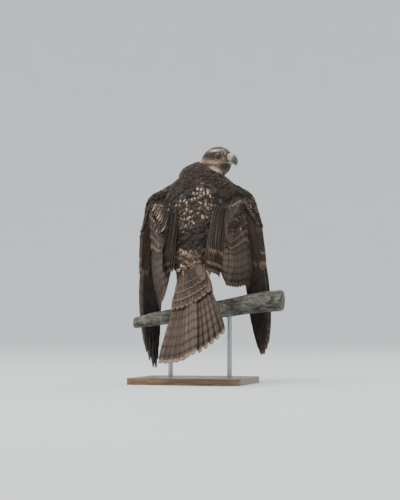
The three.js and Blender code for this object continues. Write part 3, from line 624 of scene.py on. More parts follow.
def wing_line(wing, shares, behind=0.0):
    """Points of the wing's flesh: on its leading edge, moved behind toward the hem by a share."""
    return [mix(wing_edge(wing, k), wing_hem(wing, k), behind) for k in shares]


def body_shells():
    """The rings of every part of the body as one list."""
    s, angle = ring_grid(36, 40)
    shells = [
        body_surface(BODY, s, angle, -BODY_INSET),
        body_surface(NECK, s, angle, -NECK_INSET),
        skull_surface(s, angle, -HEAD_INSET),
    ]
    for side, x in FEET.values():
        shells.append(tube(thigh_path(side, x), THIGH_RADII, 20, 24))
    for wing in WINGS.values():
        shells.append(tube(wing_line(wing, EDGE_SHARES), EDGE_RADII, 24, 24, (0, 1, 0)))
        for behind in (0.45, 0.75):
            shells.append(tube(wing_line(wing, INNER_SHARES, behind), INNER_RADII, 24, 24, (0, 1, 0)))
    for offset in (-14, 0, 14):
        stub = [TAIL_ROOT + TAIL_AXIS * length + TAIL_ACROSS * offset for length in STUB_LENGTHS]
        shells.append(tube(stub, STUB_RADII, 14, 20))
    for side in (-1, 1):
        brow = [in_head(forward, side * across, up) for forward, across, up in BROW]
        shells.append(tube(brow, BROW_RADII, 16, 16))
    return shells


shells = body_shells()
print("shells", len(shells))

# %% One skin
SKIN_VOXEL = 0.0028
SOCKET_AHEAD = 7
SOCKET_REACH = 13
SOCKET_DEPTH = 2.4


def join(shells):
    """All shells as one object of loose closed surfaces."""
    holders = []
    for shell in shells:
        mesh = make_mesh("shell", shell, tube_faces(*shell.shape[:2]))
        turn_outward(mesh)
        holders.append(bpy.data.objects.new("shell", mesh))
        bpy.context.scene.collection.objects.link(holders[-1])
    bpy.ops.object.select_all(action="DESELECT")
    for holder in holders:
        holder.select_set(True)
    bpy.context.view_layer.objects.active = holders[0]
    bpy.ops.object.join()
    return bpy.context.view_layer.objects.active


def wrap(rough):
    """The shells remeshed at the size of a voxel and smoothed, as a mesh of its own."""
    remesh = rough.modifiers.new("one_surface", "REMESH")
    remesh.mode = "VOXEL"
    remesh.voxel_size = SKIN_VOXEL
    soften = rough.modifiers.new("soften", "SMOOTH")
    soften.factor = 0.5
    soften.iterations = 6
    mesh = bpy.data.meshes.new_from_object(rough.evaluated_get(bpy.context.evaluated_depsgraph_get()))
    bpy.data.objects.remove(rough)
    return mesh


skin_mesh = wrap(join(shells))
skin_places = places_of(skin_mesh)
for side in (-1, 1):
    away = np.linalg.norm(skin_places - (eye_centre(side) + eye_axis(side) * SOCKET_AHEAD), axis=1)
    press = np.clip(1 - (away / SOCKET_REACH) ** 2, 0, 1) * SOCKET_DEPTH
    skin_places -= press[:, None] * eye_axis(side)
move_to(skin_mesh, skin_places)
skin_mesh.update()
skin_mesh.shade_smooth()
print("skin", len(skin_mesh.polygons), "faces")

# %% [markdown]
# The plumage is a young bird's. The back is dark brown with cream blotches on the shoulders and
# paler, tan-edged feathers on the rump. The head has a pale line over the eye and a dark one through
# it. The breast, which the camera doesn't see, is cream with a dark streaked band, as in the species.
# The marks could be painted on the skin by brush. Soft hills and ovals at named places are used
# instead, because skin and feathers can then ask the same functions for their colour at any place.

# %% Colours and blotches
DARK = paint(40, 32, 28)
BROWN = paint(62, 49, 42)
WARM = paint(92, 72, 58)
TAN = paint(138, 114, 94)
BUFF = paint(190, 166, 142)
CREAM = paint(222, 208, 190)
CROWN = paint(84, 70, 58)
# Blotches on the back and wings: place across and up, half width and half height, strength, in mm.
BLOTCHES = np.array([
    [-30, 246, 17, 26, 1.0], [-20, 212, 24, 18, 0.95], [16, 268, 18, 24, 0.95], [38, 236, 24, 24, 0.9],
    [56, 205, 18, 16, 0.8], [-6, 262, 14, 14, 0.6], [4, 238, 12, 20, 0.5], [-92, 214, 12, 30, 0.95],
    [-84, 180, 9, 20, 0.5], [-86, 106, 14, 26, 0.7], [-92, 34, 14, 10, 0.8], [98, 150, 12, 36, 0.4],
    [-22, 128, 34, 34, 0.5],
])
ACROSS = np.array([math.cos(CAMERA_AZIMUTH), math.sin(CAMERA_AZIMUTH), 0])


def soft_oval(x, y, centre_x, centre_y, half_x, half_y):
    """exp(-r^3), where r is the distance from the centre measured in half sizes."""
    return np.exp(-(((x - centre_x) / half_x) ** 2 + ((y - centre_y) / half_y) ** 2) ** 1.5)


def hill(value, centre, half):
    """exp(-d^2), with d the distance from the centre in half widths."""
    return np.exp(-((value - centre) / half) ** 2)


def blotch(places):
    """How pale the back is at a place: the strongest of the blotches, each a soft oval."""
    across, up = places @ ACROSS, places[..., 2]
    return np.max([oval[4] * soft_oval(across, up, *oval[:4]) for oval in BLOTCHES], axis=0)


print("paleness in the middle of the first blotch", blotch(BLOTCHES[0, 0] * ACROSS + [0, 0, 246]).round(2))

# %% Markings of head and body
# Columns: colour, strength, then place forward and up, half length and half height in mm.
HEAD_MARKS = [
    (DARK, 0.95, -8, 10, 22, 4.5),
    (DARK, 0.8, 12, 10, 15, 9.5),
    (CREAM, 0.95, 7, 22.5, 13, 2.8),
    (mix(TAN, BUFF, 0.7), 0.95, -21, -3, 8, 8),
    (mix(TAN, BUFF, 0.7), 0.9, 12, -3.5, 19, 4),
    (DARK, 0.75, 4, -10, 17, 2.6),
    (mix(BUFF, CREAM, 0.3), 0.95, 13, -21, 10, 9),
    (DARK, 0.8, 28, -9, 5.5, 9),
    # Painted shade: the grey-olive chin stands for the throat lying in the shadow of the bill.
    (paint(124, 120, 102), 0.85, 30, -24, 9, 10),
]
BELLY_BAND = 165


def head_frame(places):
    """Places as forward, left and up of the head's centre: the dot products with its three axes."""
    away = places - HEAD_CENTRE
    return away @ FORWARD, away @ LEFT, away @ UP


def head_marks(places):
    """The head's colours: brown crown and flecked forehead, then in the order of HEAD_MARKS a line
    behind the eye and a ring round it, a pale streak over it, a tan patch behind, a pale band below,
    a thin dark line, a pale cheek, a dark moustache and a grey-olive chin that is painted shade under
    the bill, and last a brown nape."""
    f, _, u = head_frame(places)
    fleck = (np.sin(f * 1.9 + 3 * np.sin(u * 1.1)) * np.sin(u * 2.3 + f * 0.7) > 0.15)[..., None]
    colour = mix(CROWN, mix(WARM, TAN, 0.5), np.clip((14 - u) / 16, 0, 1)[..., None])
    forehead = soft_oval(f, u, 26, 13, 12, 13)[..., None]
    colour = mix(colour, mix(TAN, BUFF, 0.6), 0.8 * fleck * forehead)
    colour = mix(colour, TAN, 0.3 * fleck * (u > 16)[..., None])
    for shade, strength, *oval in HEAD_MARKS:
        colour = mix(colour, shade, strength * soft_oval(f, u, *oval)[..., None])
    nape = np.clip((-f - 16) / 14, 0, 1)[..., None] * (u > 2)[..., None]
    return mix(colour, BROWN, 0.8 * nape)


def body_marks(places, backward):
    """Ground colour and paleness by place: a wavy dark back, a cream breast with a brown band and a
    warm throat, mixed by backward, which is 1 on the back and 0 on the breast."""
    pale = blotch(places)
    up = places[..., 2]
    back = mix(DARK, BROWN, np.clip(0.35 + 0.5 * np.sin(up / 17), 0, 1)[..., None])
    breast = mix(CREAM, BROWN, (hill(up, BELLY_BAND, 42) * 0.2)[..., None])
    breast = mix(breast, WARM, (0.6 * np.clip((up - 240) / 50, 0, 1))[..., None])
    return mix(breast, back, backward[..., None]), pale


print("colour at the eye", head_marks(eye_centre(1)).round(3))

# %% [markdown]
# A real feather is two webs of barbs on one shaft. Hair strands or cards with a cut-out picture could
# stand for it. Here it is a closed leaf with an upper face, a lower face and a shared rim, because
# such a leaf is solid in every picture and every copy. All feathers of a kind are worked out at once
# from their shafts, their outward directions and a width profile. Each leaf carries a small map of
# its own, across and along, which the finish reads.

# %% Feathers as leaves
LEAF_COLUMNS = 5
TUFT_PATCH = 0.003


def leaf_faces(rows, columns):
    """Quads of one leaf: the upper grid, and a lower grid that shares the rim."""
    upper = np.arange(rows * columns).reshape(rows, columns)
    lower = upper.copy()
    inside = np.arange((rows - 2) * (columns - 2)).reshape(rows - 2, columns - 2)
    lower[1:-1, 1:-1] = rows * columns + inside

    def quads(grid):
        return np.stack([grid[:-1, :-1], grid[:-1, 1:], grid[1:, 1:], grid[1:, :-1]], -1).reshape(-1, 4)

    return np.concatenate([quads(upper), quads(lower)[:, ::-1]])


def leaves(shaft, side, up, less, more, profile, camber=0.12, thick=0.5, tip=0.5, ruffle=0.0):
    """Leaves around shafts of shape (n, rows, 3). A point is shaft + side * x * width - up * camber *
    x^2 * width, where x runs from -less to more, the width is scaled by the profile along the shaft,
    and the edges fall short of the tip so that it is round. Returns points, faces and vane map."""
    n, rows = shaft.shape[:2]
    x = np.linspace(-1, 1, LEAF_COLUMNS)
    t = np.linspace(0, 1, rows)
    less, more = (np.broadcast_to(np.asarray(v, float).reshape(-1, 1, 1), (n, rows, 1)) for v in (less, more))
    width = np.where(x < 0, less, more) * profile[None, :, None]
    width = width * (1 + ruffle * random.normal(size=(n, rows, LEAF_COLUMNS)))
    along = unit(np.gradient(shaft, axis=1))
    length = np.linalg.norm(shaft[:, -1] - shaft[:, 0], axis=-1)[:, None, None]
    back = -(tip * np.abs(x) ** 2)[None, None] * (t**4)[None, :, None] * np.minimum(length * 0.3, width)
    drop = up[:, :, None] * (camber * x**2 * width)[..., None]
    upper = shaft[:, :, None] + side[:, :, None] * (x * width)[..., None]
    upper = upper + along[:, :, None] * back[..., None] - drop
    ridge = thick * (1 - 0.6 * np.abs(x)) * np.sqrt(np.clip(1 - (2 * t - 1)[:, None] ** 4, 0, 1))
    upper = upper + up[:, :, None] * (ridge * 0.5)[None, ..., None]
    lower = (upper - up[:, :, None] * np.maximum(ridge, 0.15)[None, ..., None])[:, 1:-1, 1:-1]
    points = np.concatenate([upper.reshape(n, -1, 3), lower.reshape(n, -1, 3)], 1)
    grid = np.stack(np.broadcast_arrays((x[None] + 1) / 2, t[:, None]), -1)
    vane_map = np.concatenate([grid.reshape(-1, 2), grid[1:-1, 1:-1].reshape(-1, 2)])
    first = (np.arange(n) * points.shape[1])[:, None, None]
    faces = (leaf_faces(rows, LEAF_COLUMNS)[None] + first).reshape(-1, 4)
    return points, faces, np.broadcast_to(vane_map, (n, *vane_map.shape))


def show_feathers(name, leaf, roots_on_map, ground, pale, finish, *nodes, flip=False):
    """One piece from many leaves. OFBake puts each leaf in a small patch at its root's place."""
    points, faces, vane_map = leaf
    n, count = points.shape[:2]
    bake = roots_on_map[:, None] + (vane_map - 0.5) * TUFT_PATCH

    def spread(of_each):
        return np.broadcast_to(np.asarray(of_each)[:, None], (n, count, *np.shape(of_each)[1:]))

    numbers = {"pale": spread(pale), "luck": spread(random.random(n))}
    faces = [faces[:, ::-1] if flip else faces]
    maps = {"OFBake": bake, "vane": vane_map}
    mesh = make_mesh(name, points, faces, maps, {"ground": spread(ground)}, numbers)
    print(name, n, "feathers", len(mesh.polygons) * 2, "triangles")
    return show(name, mesh, finish, *nodes)


print("a leaf of 6 rows has", len(leaf_faces(6, LEAF_COLUMNS)) * 2, "triangles")

# %% [markdown]
# Seen close, a feather has fine barbs that run out from the shaft, a thin shaft line, a paler fringe
# and, where the bird is blotched, pale spots on both webs. Large feathers add bars. Each kind could
# have a finish of its own. One recipe with a few settings makes all of them, because then neighbours
# match as they do on the bird: the recipe reads the leaf's own map, so marks follow every bend.

# %% Feather finish
def feather_finish(name, bars, barbs, fringe, bar_colour=DARK, tip_colour=BUFF, tip_from=1.0, inner=None):
    """The ground colour, then layer on layer by the share along the vane and the share off its shaft:
    bars (a sine along it), inner edge, painted shade at the base where other feathers cover it, spots,
    fringe, tip, shaft line and barbs (a fine sine that slants off the shaft)."""
    g = Graph(name, 0.62, Sheen_Weight=0.04, Sheen_Roughness=0.5, Specular_IOR_Level=0.2)
    across, along = g.uv("vane")
    ground = g.attribute("ground")
    pale = g.attribute("pale", "Fac")
    luck = g.attribute("luck", "Fac")
    off = g.times(g.apart(across, 0.5), 2.0)
    place = g.place()
    fleck = g.noise(place, 420, 4)
    cloud = g.noise(place, 60, 2)

    shade = g.ramp(g.plus(g.times(luck, 0.7), g.times(cloud, 0.5)), 0.1, 1.1, 0.72, 1.22)
    colour = g.blend(1.0, ground, shade, "MULTIPLY")
    if bars:
        uneven = g.plus(g.times(off, -0.22), g.times(fleck, 0.28))
        wave = g.work_out("SINE", g.times(g.plus(g.times(along, bars), uneven), 2 * math.pi))
        colour = g.blend(g.ramp(wave, 0.25, 0.8, 0.0, 0.85), colour, bar_colour)
    if inner is not None:
        colour = g.blend(g.ramp(across, 0.82, 1.0, 0.0, 0.4), colour, inner)
    # Painted shade: each vane darkens toward its root, where the feathers lying over it would shade it.
    colour = g.blend(g.ramp(along, 0.0, 0.38, 0.75, 0.0), colour, DARK)

    from_spot = g.apart(along, g.ramp(fleck, 0.3, 0.7, 0.5, 0.75))
    spot = g.times(g.ramp(off, 0.12, 0.42), g.ramp(from_spot, 0.06, 0.26, 1.0, 0.0))
    spot = g.times(spot, g.ramp(pale, 0.15, 0.75))
    spot_colour = g.blend(luck, paint(176, 148, 124), paint(212, 194, 172))
    colour = g.blend(g.times(spot, 0.9), colour, spot_colour)

    rim = g.work_out("MAXIMUM", g.ramp(off, 0.7, 1.0), g.ramp(along, 0.86, 1.0))
    rim = g.times(rim, g.ramp(pale, 0.0, 0.7, fringe * 0.3, fringe))
    colour = g.blend(rim, colour, g.blend(0.55, colour, TAN))
    if tip_from < 1:
        tip = g.ramp(g.plus(along, g.times(fleck, 0.03)), tip_from, tip_from + 0.03, 0.0, 0.85)
        colour = g.blend(tip, colour, tip_colour)

    shaft = g.ramp(off, 0.03, 0.1, 1.0, 0.0)
    colour = g.blend(g.times(shaft, 0.35), colour, TAN if bars else DARK)
    slant = g.work_out("SUBTRACT", along, g.times(off, 0.16))
    barb = g.work_out("SINE", g.times(slant, barbs * math.pi / 2))
    colour = g.blend(g.ramp(barb, -1, 1, 0.22, 0.0), colour, DARK, "MULTIPLY")
    height = g.plus(g.times(barb, 0.5), g.times(shaft, 1.5))
    return g.finish(colour, height, 0.0003, 0.5, g.ramp(fleck, 0.3, 0.7, 0.55, 0.75))


coat_finish = feather_finish("body_plumage", 0, 40, 0.55)
covert_finish = feather_finish("wing_covert_plumage", 0, 90, 0.7, tip_colour=TAN, tip_from=0.93)
remex_finish = feather_finish(
    "flight_feather", 9, 260, 0.3, paint(30, 25, 23), TAN, 0.98, inner=paint(66, 58, 54))
rectrix_finish = feather_finish("tail_feather", 10, 260, 0.3, paint(30, 23, 20), BUFF, 0.968)
print("nodes in the tail feather's finish", len(rectrix_finish.node_tree.nodes))

# %% [markdown]
# Down and bare skin show in the gaps of the coat. They could be left black, but gaps would then look
# like holes. The skin takes the coat's own colours instead, darker and with a downy grain.

# %% Skin finish
DOWN_SCALE = 900


def skin_finish():
    """The ground colour multiplied by a grey-brown, more where a fine noise is high."""
    g = Graph("downy_skin", 0.85)
    grain = g.noise(g.place(), DOWN_SCALE, 3)
    colour = g.blend(g.ramp(grain, 0.3, 0.7, 0.2, 0.7), g.attribute("ground"), paint(60, 50, 46), "MULTIPLY")
    return g.finish(colour, grain, 0.0008, 0.7)


print("downs in a centimetre", round(DOWN_SCALE / 100))

# %% [markdown]
# Body feathers grow in tracts: small and dense on the face, larger down the neck, largest over the
# shoulders. They could be set by hand or in a regular pattern, but rows would show. Instead many
# random points are drawn by area, and one is kept in each small cell, whose size is the tract's. The
# roots stay as even as in life, and no two neighbours are quite alike.

# %% Candidates on the skin
CANDIDATES = 420000
corner = skin_places[triangles_of(skin_mesh)]
areas = np.linalg.norm(np.cross(corner[:, 1] - corner[:, 0], corner[:, 2] - corner[:, 0]), axis=1) / 2
chosen = random.choice(len(areas), CANDIDATES, p=areas / areas.sum())
mixes = random.dirichlet((1, 1, 1), CANDIDATES)
candidates = (corner[chosen] * mixes[..., None]).sum(1)
print("skin, square cm", round(areas.sum() / 100))

# %% Tracts of the plumage
# Tract numbers, then for each: spacing, length, half width, rise at the tip in mm.
FACE, CROWN_ZONE, NECK_ZONE, BACK, SCAPULAR, BREAST, LEG, ARM, RUMP = range(9)
ZONES = np.array([
    [2.3, 6.5, 2.3, 0.9], [2.7, 8.5, 2.9, 1.2], [4.4, 14, 4.8, 2.4], [6.6, 25, 8.2, 3.6],
    [8.2, 36, 10.5, 4.4], [5.6, 22, 6.8, 4.0], [4.8, 20, 5.4, 3.2], [5.4, 19, 6.6, 3.0], [6.4, 27, 8.4, 4.0],
])
# Heights above the branch that part the tracts, how far leg and arm feathers reach from their lines,
# the skull's half sizes, and the point ahead of it that its feathers lie away from, all in mm.
RUMP_TOP = 150
NECK_FROM = 284
SHOULDERS = (175, 285)
LEG_TOP = 118
LEG_REACH = 24
ARM_FROM = 140
ARM_REACH = 13
ARM_BESIDE = 68
SKULL_HALF = (41, 33, 37)
BILL_BASE = 44
print("body feathers are", ZONES[:, 1].min(), "to", ZONES[:, 1].max(), "mm long")

# %% The tract and lie of a place
spine = np.vstack([TAIL_ROOT, BODY[1:6, :3], NECK[1:4, :3], HEAD_CENTRE])
spine = smooth_curve(spine, np.linspace(0, 1, 90))
spine_way = -unit(np.gradient(spine, axis=0))


def nearest(places, line):
    """Number of the nearest point of a line, for many places, and how far it is."""
    square = (places**2).sum(1)[:, None] + (line**2).sum(1)[None] - 2 * places @ line.T
    index = square.argmin(1)
    return index, np.sqrt(np.maximum(square[np.arange(len(places)), index], 0))


def trunk_zone(places):
    """Tract and lie on the trunk, and how far a place faces back: the lie follows the spine tailward,
    and the tract comes from the height and from the direction away from the spine."""
    index, _ = nearest(places, spine)
    lie = spine_way[index].copy()
    radial = unit(places - spine[index])
    rear, z = -radial[:, 1], places[:, 2]
    zone = np.where(rear > -0.15, BACK, BREAST)
    over_shoulder = (rear > 0.1) & (np.abs(radial[:, 0]) > 0.3) & (z > SHOULDERS[0]) & (z < SHOULDERS[1])
    zone = np.where(over_shoulder, SCAPULAR, zone)
    zone = np.where((rear > -0.2) & (z < RUMP_TOP), RUMP, zone)
    zone = np.where(z > NECK_FROM, NECK_ZONE, zone)
    sideways = radial * np.array([0.35, 0, 0])
    return zone, lie + np.where((zone == SCAPULAR)[:, None], sideways, 0), rear


def zone_of(places):
    """The tract of each place, and the way its feathers lie: away from the bill on the skull, down the
    leg on a thigh, and toward the flight feathers on an arm."""
    zone, lie, rear = trunk_zone(places)
    f, l, u = head_frame(places)
    skull = (f / SKULL_HALF[0]) ** 2 + (l / SKULL_HALF[1]) ** 2 + (u / SKULL_HALF[2]) ** 2 < 1.12
    zone = np.where(skull, np.where((f > -8) & (u < 26), FACE, CROWN_ZONE), zone)
    lie = np.where(skull[:, None], unit(places - in_head(BILL_BASE, 0, 0)) + 0.25 * lie, lie)
    on_tail = (places @ TAIL_AXIS - TAIL_ROOT @ TAIL_AXIS > -4) & (places[:, 1] < -30)
    for side, x in FEET.values():
        line = smooth_curve(thigh_path(side, x), np.linspace(0.25, 1, 30))
        step, far = nearest(places, line)
        leg = (far < LEG_REACH) & (places[:, 2] < LEG_TOP) & (places[:, 1] > -36) & ~on_tail
        zone = np.where(leg, LEG, zone)
        lie = np.where(leg[:, None], unit(np.gradient(line, axis=0))[step], lie)
    for wing in WINGS.values():
        k = np.linspace(0, 1, 60)
        edge = wing_edge(wing, k)
        step, far = nearest(places, edge)
        _, far_in = nearest(places, mix(edge, wing_hem(wing, k), 0.75))
        beside = (np.abs(places[:, 0]) > ARM_BESIDE) & (places[:, 2] > ARM_FROM)
        arm = (np.minimum(far, far_in) < ARM_REACH) & beside
        way = unit(remex_sheet(wing)(k, 0.8) - edge)
        zone = np.where(arm, ARM, zone)
        lie = np.where(arm[:, None], way[step], lie)
    return zone, unit(lie), np.clip(0.5 + 1.6 * rear, 0, 1)


zone, lie, backward = zone_of(candidates)
print("candidates by tract", np.bincount(zone).tolist())

# %% Roots on the skin
ANKLE_TOP = 69
LID_CLEAR = 9.3
# The bare bill and cere on the head: from and to ahead, sideways, and from and to upward, in mm.
BILL_AHEAD = (27.5, 60)
BILL_BESIDE = 10.5
BILL_UPWARD = (-8, 18.5)


def one_in_each_cell(places, zone):
    """Numbers of the places that come first in their cell, a cube of their tract's spacing."""
    cell = np.floor(places / ZONES[zone, 0][:, None]).astype(np.int64) + 4096
    key = ((zone * 8192 + cell[:, 0]) * 8192 + cell[:, 1]) * 8192 + cell[:, 2]
    return np.unique(key, return_index=True)[1]


def is_bare(places, zone):
    """Whether a place is under the bill and cere, in an eye socket or on a shank."""
    f, l, u = head_frame(places)
    bare = (f > BILL_AHEAD[0]) & (f < BILL_AHEAD[1]) & (np.abs(l) < BILL_BESIDE)
    bare &= (u > BILL_UPWARD[0]) & (u < BILL_UPWARD[1])
    for side in (-1, 1):
        bare |= np.linalg.norm(places - eye_centre(side) - eye_axis(side) * 5, axis=1) <= LID_CLEAR
    return bare | ((zone == LEG) & (places[:, 2] < ANKLE_TOP))


keep = one_in_each_cell(candidates, zone)
keep = keep[~is_bare(candidates[keep], zone[keep])]
roots, zone, lie, backward = candidates[keep], zone[keep], lie[keep], backward[keep]
print("roots", len(roots), [int((zone == i).sum()) for i in range(len(ZONES))])

# %% [markdown]
# A body feather lies on the skin, bends with it and rises a little toward its tip. Straight feathers
# could be stuck on at an angle, but they would dive under the skin wherever it bends. So each shaft
# walks from its root along the lie of the plumage and is laid back on the skin after each step, which
# the Shrinkwrap modifier does for all feathers at once.

# %% Shafts laid on the skin
skin = bpy.data.objects.new("skin", skin_mesh)
bpy.context.scene.collection.objects.link(skin)


def on_skin(places, height):
    """The places pressed onto the skin and lifted by a height: done by the Shrinkwrap modifier."""
    mesh = bpy.data.meshes.new("probe")
    mesh.vertices.add(len(places))
    move_to(mesh, places)
    probe = bpy.data.objects.new("probe", mesh)
    bpy.context.scene.collection.objects.link(probe)
    press = probe.modifiers.new("press", "SHRINKWRAP")
    press.target = skin
    press.wrap_mode = "ABOVE_SURFACE"
    press.offset = height * MM
    pressed = places_of(probe.evaluated_get(bpy.context.evaluated_depsgraph_get()).data)
    bpy.data.objects.remove(probe)
    return pressed


def walk(place, way, stride, rows):
    """Points and upward directions of shafts that take a stride along the way, square to the skin's
    own upward direction, and are pressed back on the skin for each row."""
    points, ups = [], []
    for _ in range(rows):
        above = on_skin(place, 1.0)
        flat = on_skin(place, 0.0)
        up = unit(above - flat)
        points.append(flat)
        ups.append(up)
        way = unit(way - up * (way * up).sum(1, keepdims=True))
        place = flat + way * stride
    return np.stack(points, 1), np.stack(ups, 1)


COAT_ROWS = 6
COAT_PROFILE = np.array([0.35, 0.75, 1.0, 1.02, 0.86, 0.42])
count = len(roots)
jitter = random.normal(size=(count, 3)) * np.where(zone <= CROWN_ZONE, 0.1, 0.16)[:, None]
lie = unit(lie + jitter)
length = ZONES[zone, 1] * random.uniform(0.82, 1.15, count)
shaft, up = walk(on_skin(roots, 0.0), lie, (length / (COAT_ROWS - 1))[:, None], COAT_ROWS)
tip_rise = (ZONES[zone, 3] * random.uniform(0.7, 1.2, count))[:, None]
rise = np.linspace(0, 1, COAT_ROWS)[None, :] ** 0.85 * tip_rise
shaft = shaft + up * (0.15 + rise)[..., None]
side = unit(np.cross(unit(np.gradient(shaft, axis=1)), up))
half = ZONES[zone, 2] * random.uniform(0.88, 1.12, count)
print("body feathers, mean length in mm", round(length.mean(), 1))

# %% [markdown]
# Each feather has one ground colour, taken at its root, as a real one grows in one tract. Colours
# could come from the markings alone, but feathers of one tract differ in age and wear, so chance
# moves each a little between two tones, and makes the streaks of the breast whole feathers.

# %% Colours of the coat
on_head = zone <= CROWN_ZONE
on_breast = (zone == BREAST) & (backward < 0.4)
ground, pale = body_marks(roots, backward)


def recolour(some, colour):
    """Gives some of the feathers another ground colour."""
    return np.where(some[:, None], colour, ground)


ground = recolour(on_head, head_marks(roots))
ground = recolour(zone == LEG, mix(BUFF, WARM, random.random((count, 1)) * 0.5))
ground = recolour(zone == NECK_ZONE, mix(ground, WARM, 0.7 * random.random((count, 1)) ** 2))
edged = (blotch(roots) * random.uniform(0.3, 1.3, count))[:, None].clip(0, 1)
ground = recolour((zone == RUMP) & (backward > 0.4), mix(BROWN, TAN, edged))
ground = recolour(zone == ARM, mix(DARK, WARM, (random.random(count) ** 2 * 0.8)[:, None]))
lucky = random.random(count)
pale = np.where(on_head, 0.25 * lucky, np.clip(pale * (0.35 + 1.1 * lucky) + 0.15 * (lucky > 0.88), 0, 1))
pale = np.where(on_breast, 0.0, pale)
streaked = on_breast & (random.random(count) < 0.12 + 0.6 * hill(roots[:, 2], BELLY_BAND, 34))
ground = recolour(streaked, mix(BROWN, TAN, 0.6 * random.random((count, 1))))
print("streaked feathers", int(streaked.sum()))

# %% Pieces of the coat
MAP_MARGIN = 0.02
MAP_LOW = 40
MAP_HEIGHT = 350
turn = np.arctan2(roots[:, 0], -roots[:, 1] + 20) / (2 * np.pi) + 0.5
high = np.clip((roots[:, 2] - MAP_LOW) / MAP_HEIGHT, 0, 1)
on_map = np.stack([turn, high], 1) * (1 - 2 * MAP_MARGIN) + MAP_MARGIN
COAT = [
    ("head_plumage", on_head, ("head",)),
    ("neck_plumage", zone == NECK_ZONE, ("neck",)),
    ("body_plumage", (zone >= BACK) & (zone != LEG) & (zone != ARM), ("torso",)),
    ("thigh_plumage", zone == LEG, ("thigh_left", "thigh_right")),
    ("shoulder_plumage", zone == ARM, ()),
]
for name, some, nodes in COAT:
    web = half[some]
    leaf = leaves(shaft[some], side[some], up[some], web, web, COAT_PROFILE, 0.1, 0.45, 0.5, 0.05)
    show_feathers(name, leaf, on_map[some], ground[some], pale[some], coat_finish, *nodes)

# %% The skin as a piece
skin_zone, _, skin_back = zone_of(skin_places)
skin_ground = body_marks(skin_places, skin_back)[0]
for some, colour in (
    (skin_zone <= CROWN_ZONE, head_marks(skin_places)),
    (skin_zone == LEG, TAN),
    (skin_zone == ARM, DARK),
):
    skin_ground = np.where(some[:, None], colour, skin_ground)
give_colour(skin_mesh, "ground", skin_ground)
skin_mesh.materials.clear()
skin_mesh.materials.append(skin_finish())
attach(skin, "root")
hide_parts("head", "neck", "torso", "thigh_left", "thigh_right")
print("skin points coloured", len(skin_ground))

# %% [markdown]
# Flight feathers stand in rows, each over one neighbour and under the other. They could be placed one
# by one, or one feather repeated along a curve. Here a row is a sheet, and each vane is a leaf on the
# sheet, rolled a little about its shaft, because the roll alone makes every overlap right.

# %% Rows of large feathers
def row_of_feathers(sheet, k, outward, less, more, widths, roll, over=1, rows=12, **shape):
    """Leaves on a sheet: the shaft is the sheet itself, and the vane's sides are the direction square
    to shaft and outside, turned by the roll. Returns the leaf and whether its faces must flip."""
    t = np.linspace(0, 1, rows)[None]
    k = np.asarray(k, float)[:, None]
    at = sheet(k, t)
    along = unit(sheet(k, np.minimum(t + 0.01, 1)) - sheet(k, np.maximum(t - 0.01, 0)))
    spread = sheet(k + 0.004, t) - sheet(k - 0.004, t)
    out = np.broadcast_to(outward(k, t), at.shape)
    out = unit(out - along * (along * out).sum(-1, keepdims=True))
    side = np.cross(out, along)
    sign = np.sign((side * spread).sum(-1, keepdims=True))
    side = side * sign
    lean = np.radians(roll) * np.broadcast_to(np.asarray(over, float).reshape(-1, 1, 1), (len(k), 1, 1))
    across = side * np.cos(lean) - out * np.sin(lean)
    up = side * np.sin(lean) + out * np.cos(lean)
    profile = np.interp(t[0], *np.array(widths).T)
    leaf = leaves(at, across, up, less, more, profile, **shape)
    return leaf, bool(np.mean(sign) > 0)


# Width profiles: share along the vane, share of the full width.
REMEX_WIDTHS = [(0, 0.25), (0.12, 0.7), (0.4, 0.95), (0.72, 1), (0.88, 0.86), (0.96, 0.6), (1, 0.3)]
RECTRIX_WIDTHS = [(0, 0.3), (0.1, 0.75), (0.55, 1), (0.9, 0.97), (0.97, 0.8), (1, 0.55)]
COVERT_WIDTHS = [(0, 0.5), (0.3, 0.9), (0.7, 1), (0.9, 0.85), (1, 0.5)]
print("points of a flight feather's outline", len(REMEX_WIDTHS))

# %% Flight feathers and wing coverts
# Columns: name, number of feathers, start on the flesh, reach along the vanes, lift and width in mm,
# then the first and last place along the wing.
COVERT_ROWS = [
    ("greater_coverts", 22, 0.5, 0.40, 4.5, 8.5, 0.02, 0.985),
    ("middle_coverts", 21, 0.36, 0.29, 6.5, 8.5, 0.03, 0.98),
    ("lesser_coverts_a", 20, 0.22, 0.19, 8.5, 8.5, 0.04, 0.975),
    ("lesser_coverts_b", 19, 0.1, 0.1, 10.5, 8.5, 0.05, 0.97),
    ("lesser_coverts_c", 18, 0.02, 0.02, 12.0, 8.0, 0.06, 0.965),
]
COVERT_TIP = 2 + LEAF_COLUMNS * 11


def wing_map(label, k, lane):
    """A root's place on the wing's unwrap: k across, one lane for each row, a half for each wing."""
    return np.stack([0.03 + 0.44 * k + 0.5 * (label == "right"), np.full_like(k, 0.04 + 0.15 * lane)], 1)


def flight_feathers(label, wing):
    """Ten narrow primaries on the hand and thirteen wide secondaries on the arm, spaced evenly."""
    on_hand = (np.arange(PRIMARIES) + 0.5) / PRIMARIES * WRIST_SPAN
    on_arm = WRIST_SPAN + (np.arange(SECONDARIES) + 0.4) / SECONDARIES * (1 - WRIST_SPAN)
    k = np.concatenate([on_hand, on_arm])
    primary = k < WRIST_SPAN
    inner_web = np.where(primary, 15, 13 + 12 * np.clip((k - 0.86) / 0.14, 0, 1))
    leaf, flip = row_of_feathers(
        remex_sheet(wing), k, wing_outward(wing), np.where(primary, 8.5, 10), inner_web, REMEX_WIDTHS, 17,
        rows=22, camber=0.07, thick=0.8, tip=1.1, ruffle=0.012)
    dark, brown = mix(DARK, paint(58, 50, 48), 0.5), mix(BROWN, WARM, 0.3)
    ground = mix(dark, brown, (~primary)[:, None] * 0.9)
    show_feathers("flight_feathers_" + label, leaf, wing_map(label, k, 0), ground,
                  np.where(primary, 0.05, 0.25), remex_finish, "wing_" + label, flip=flip)


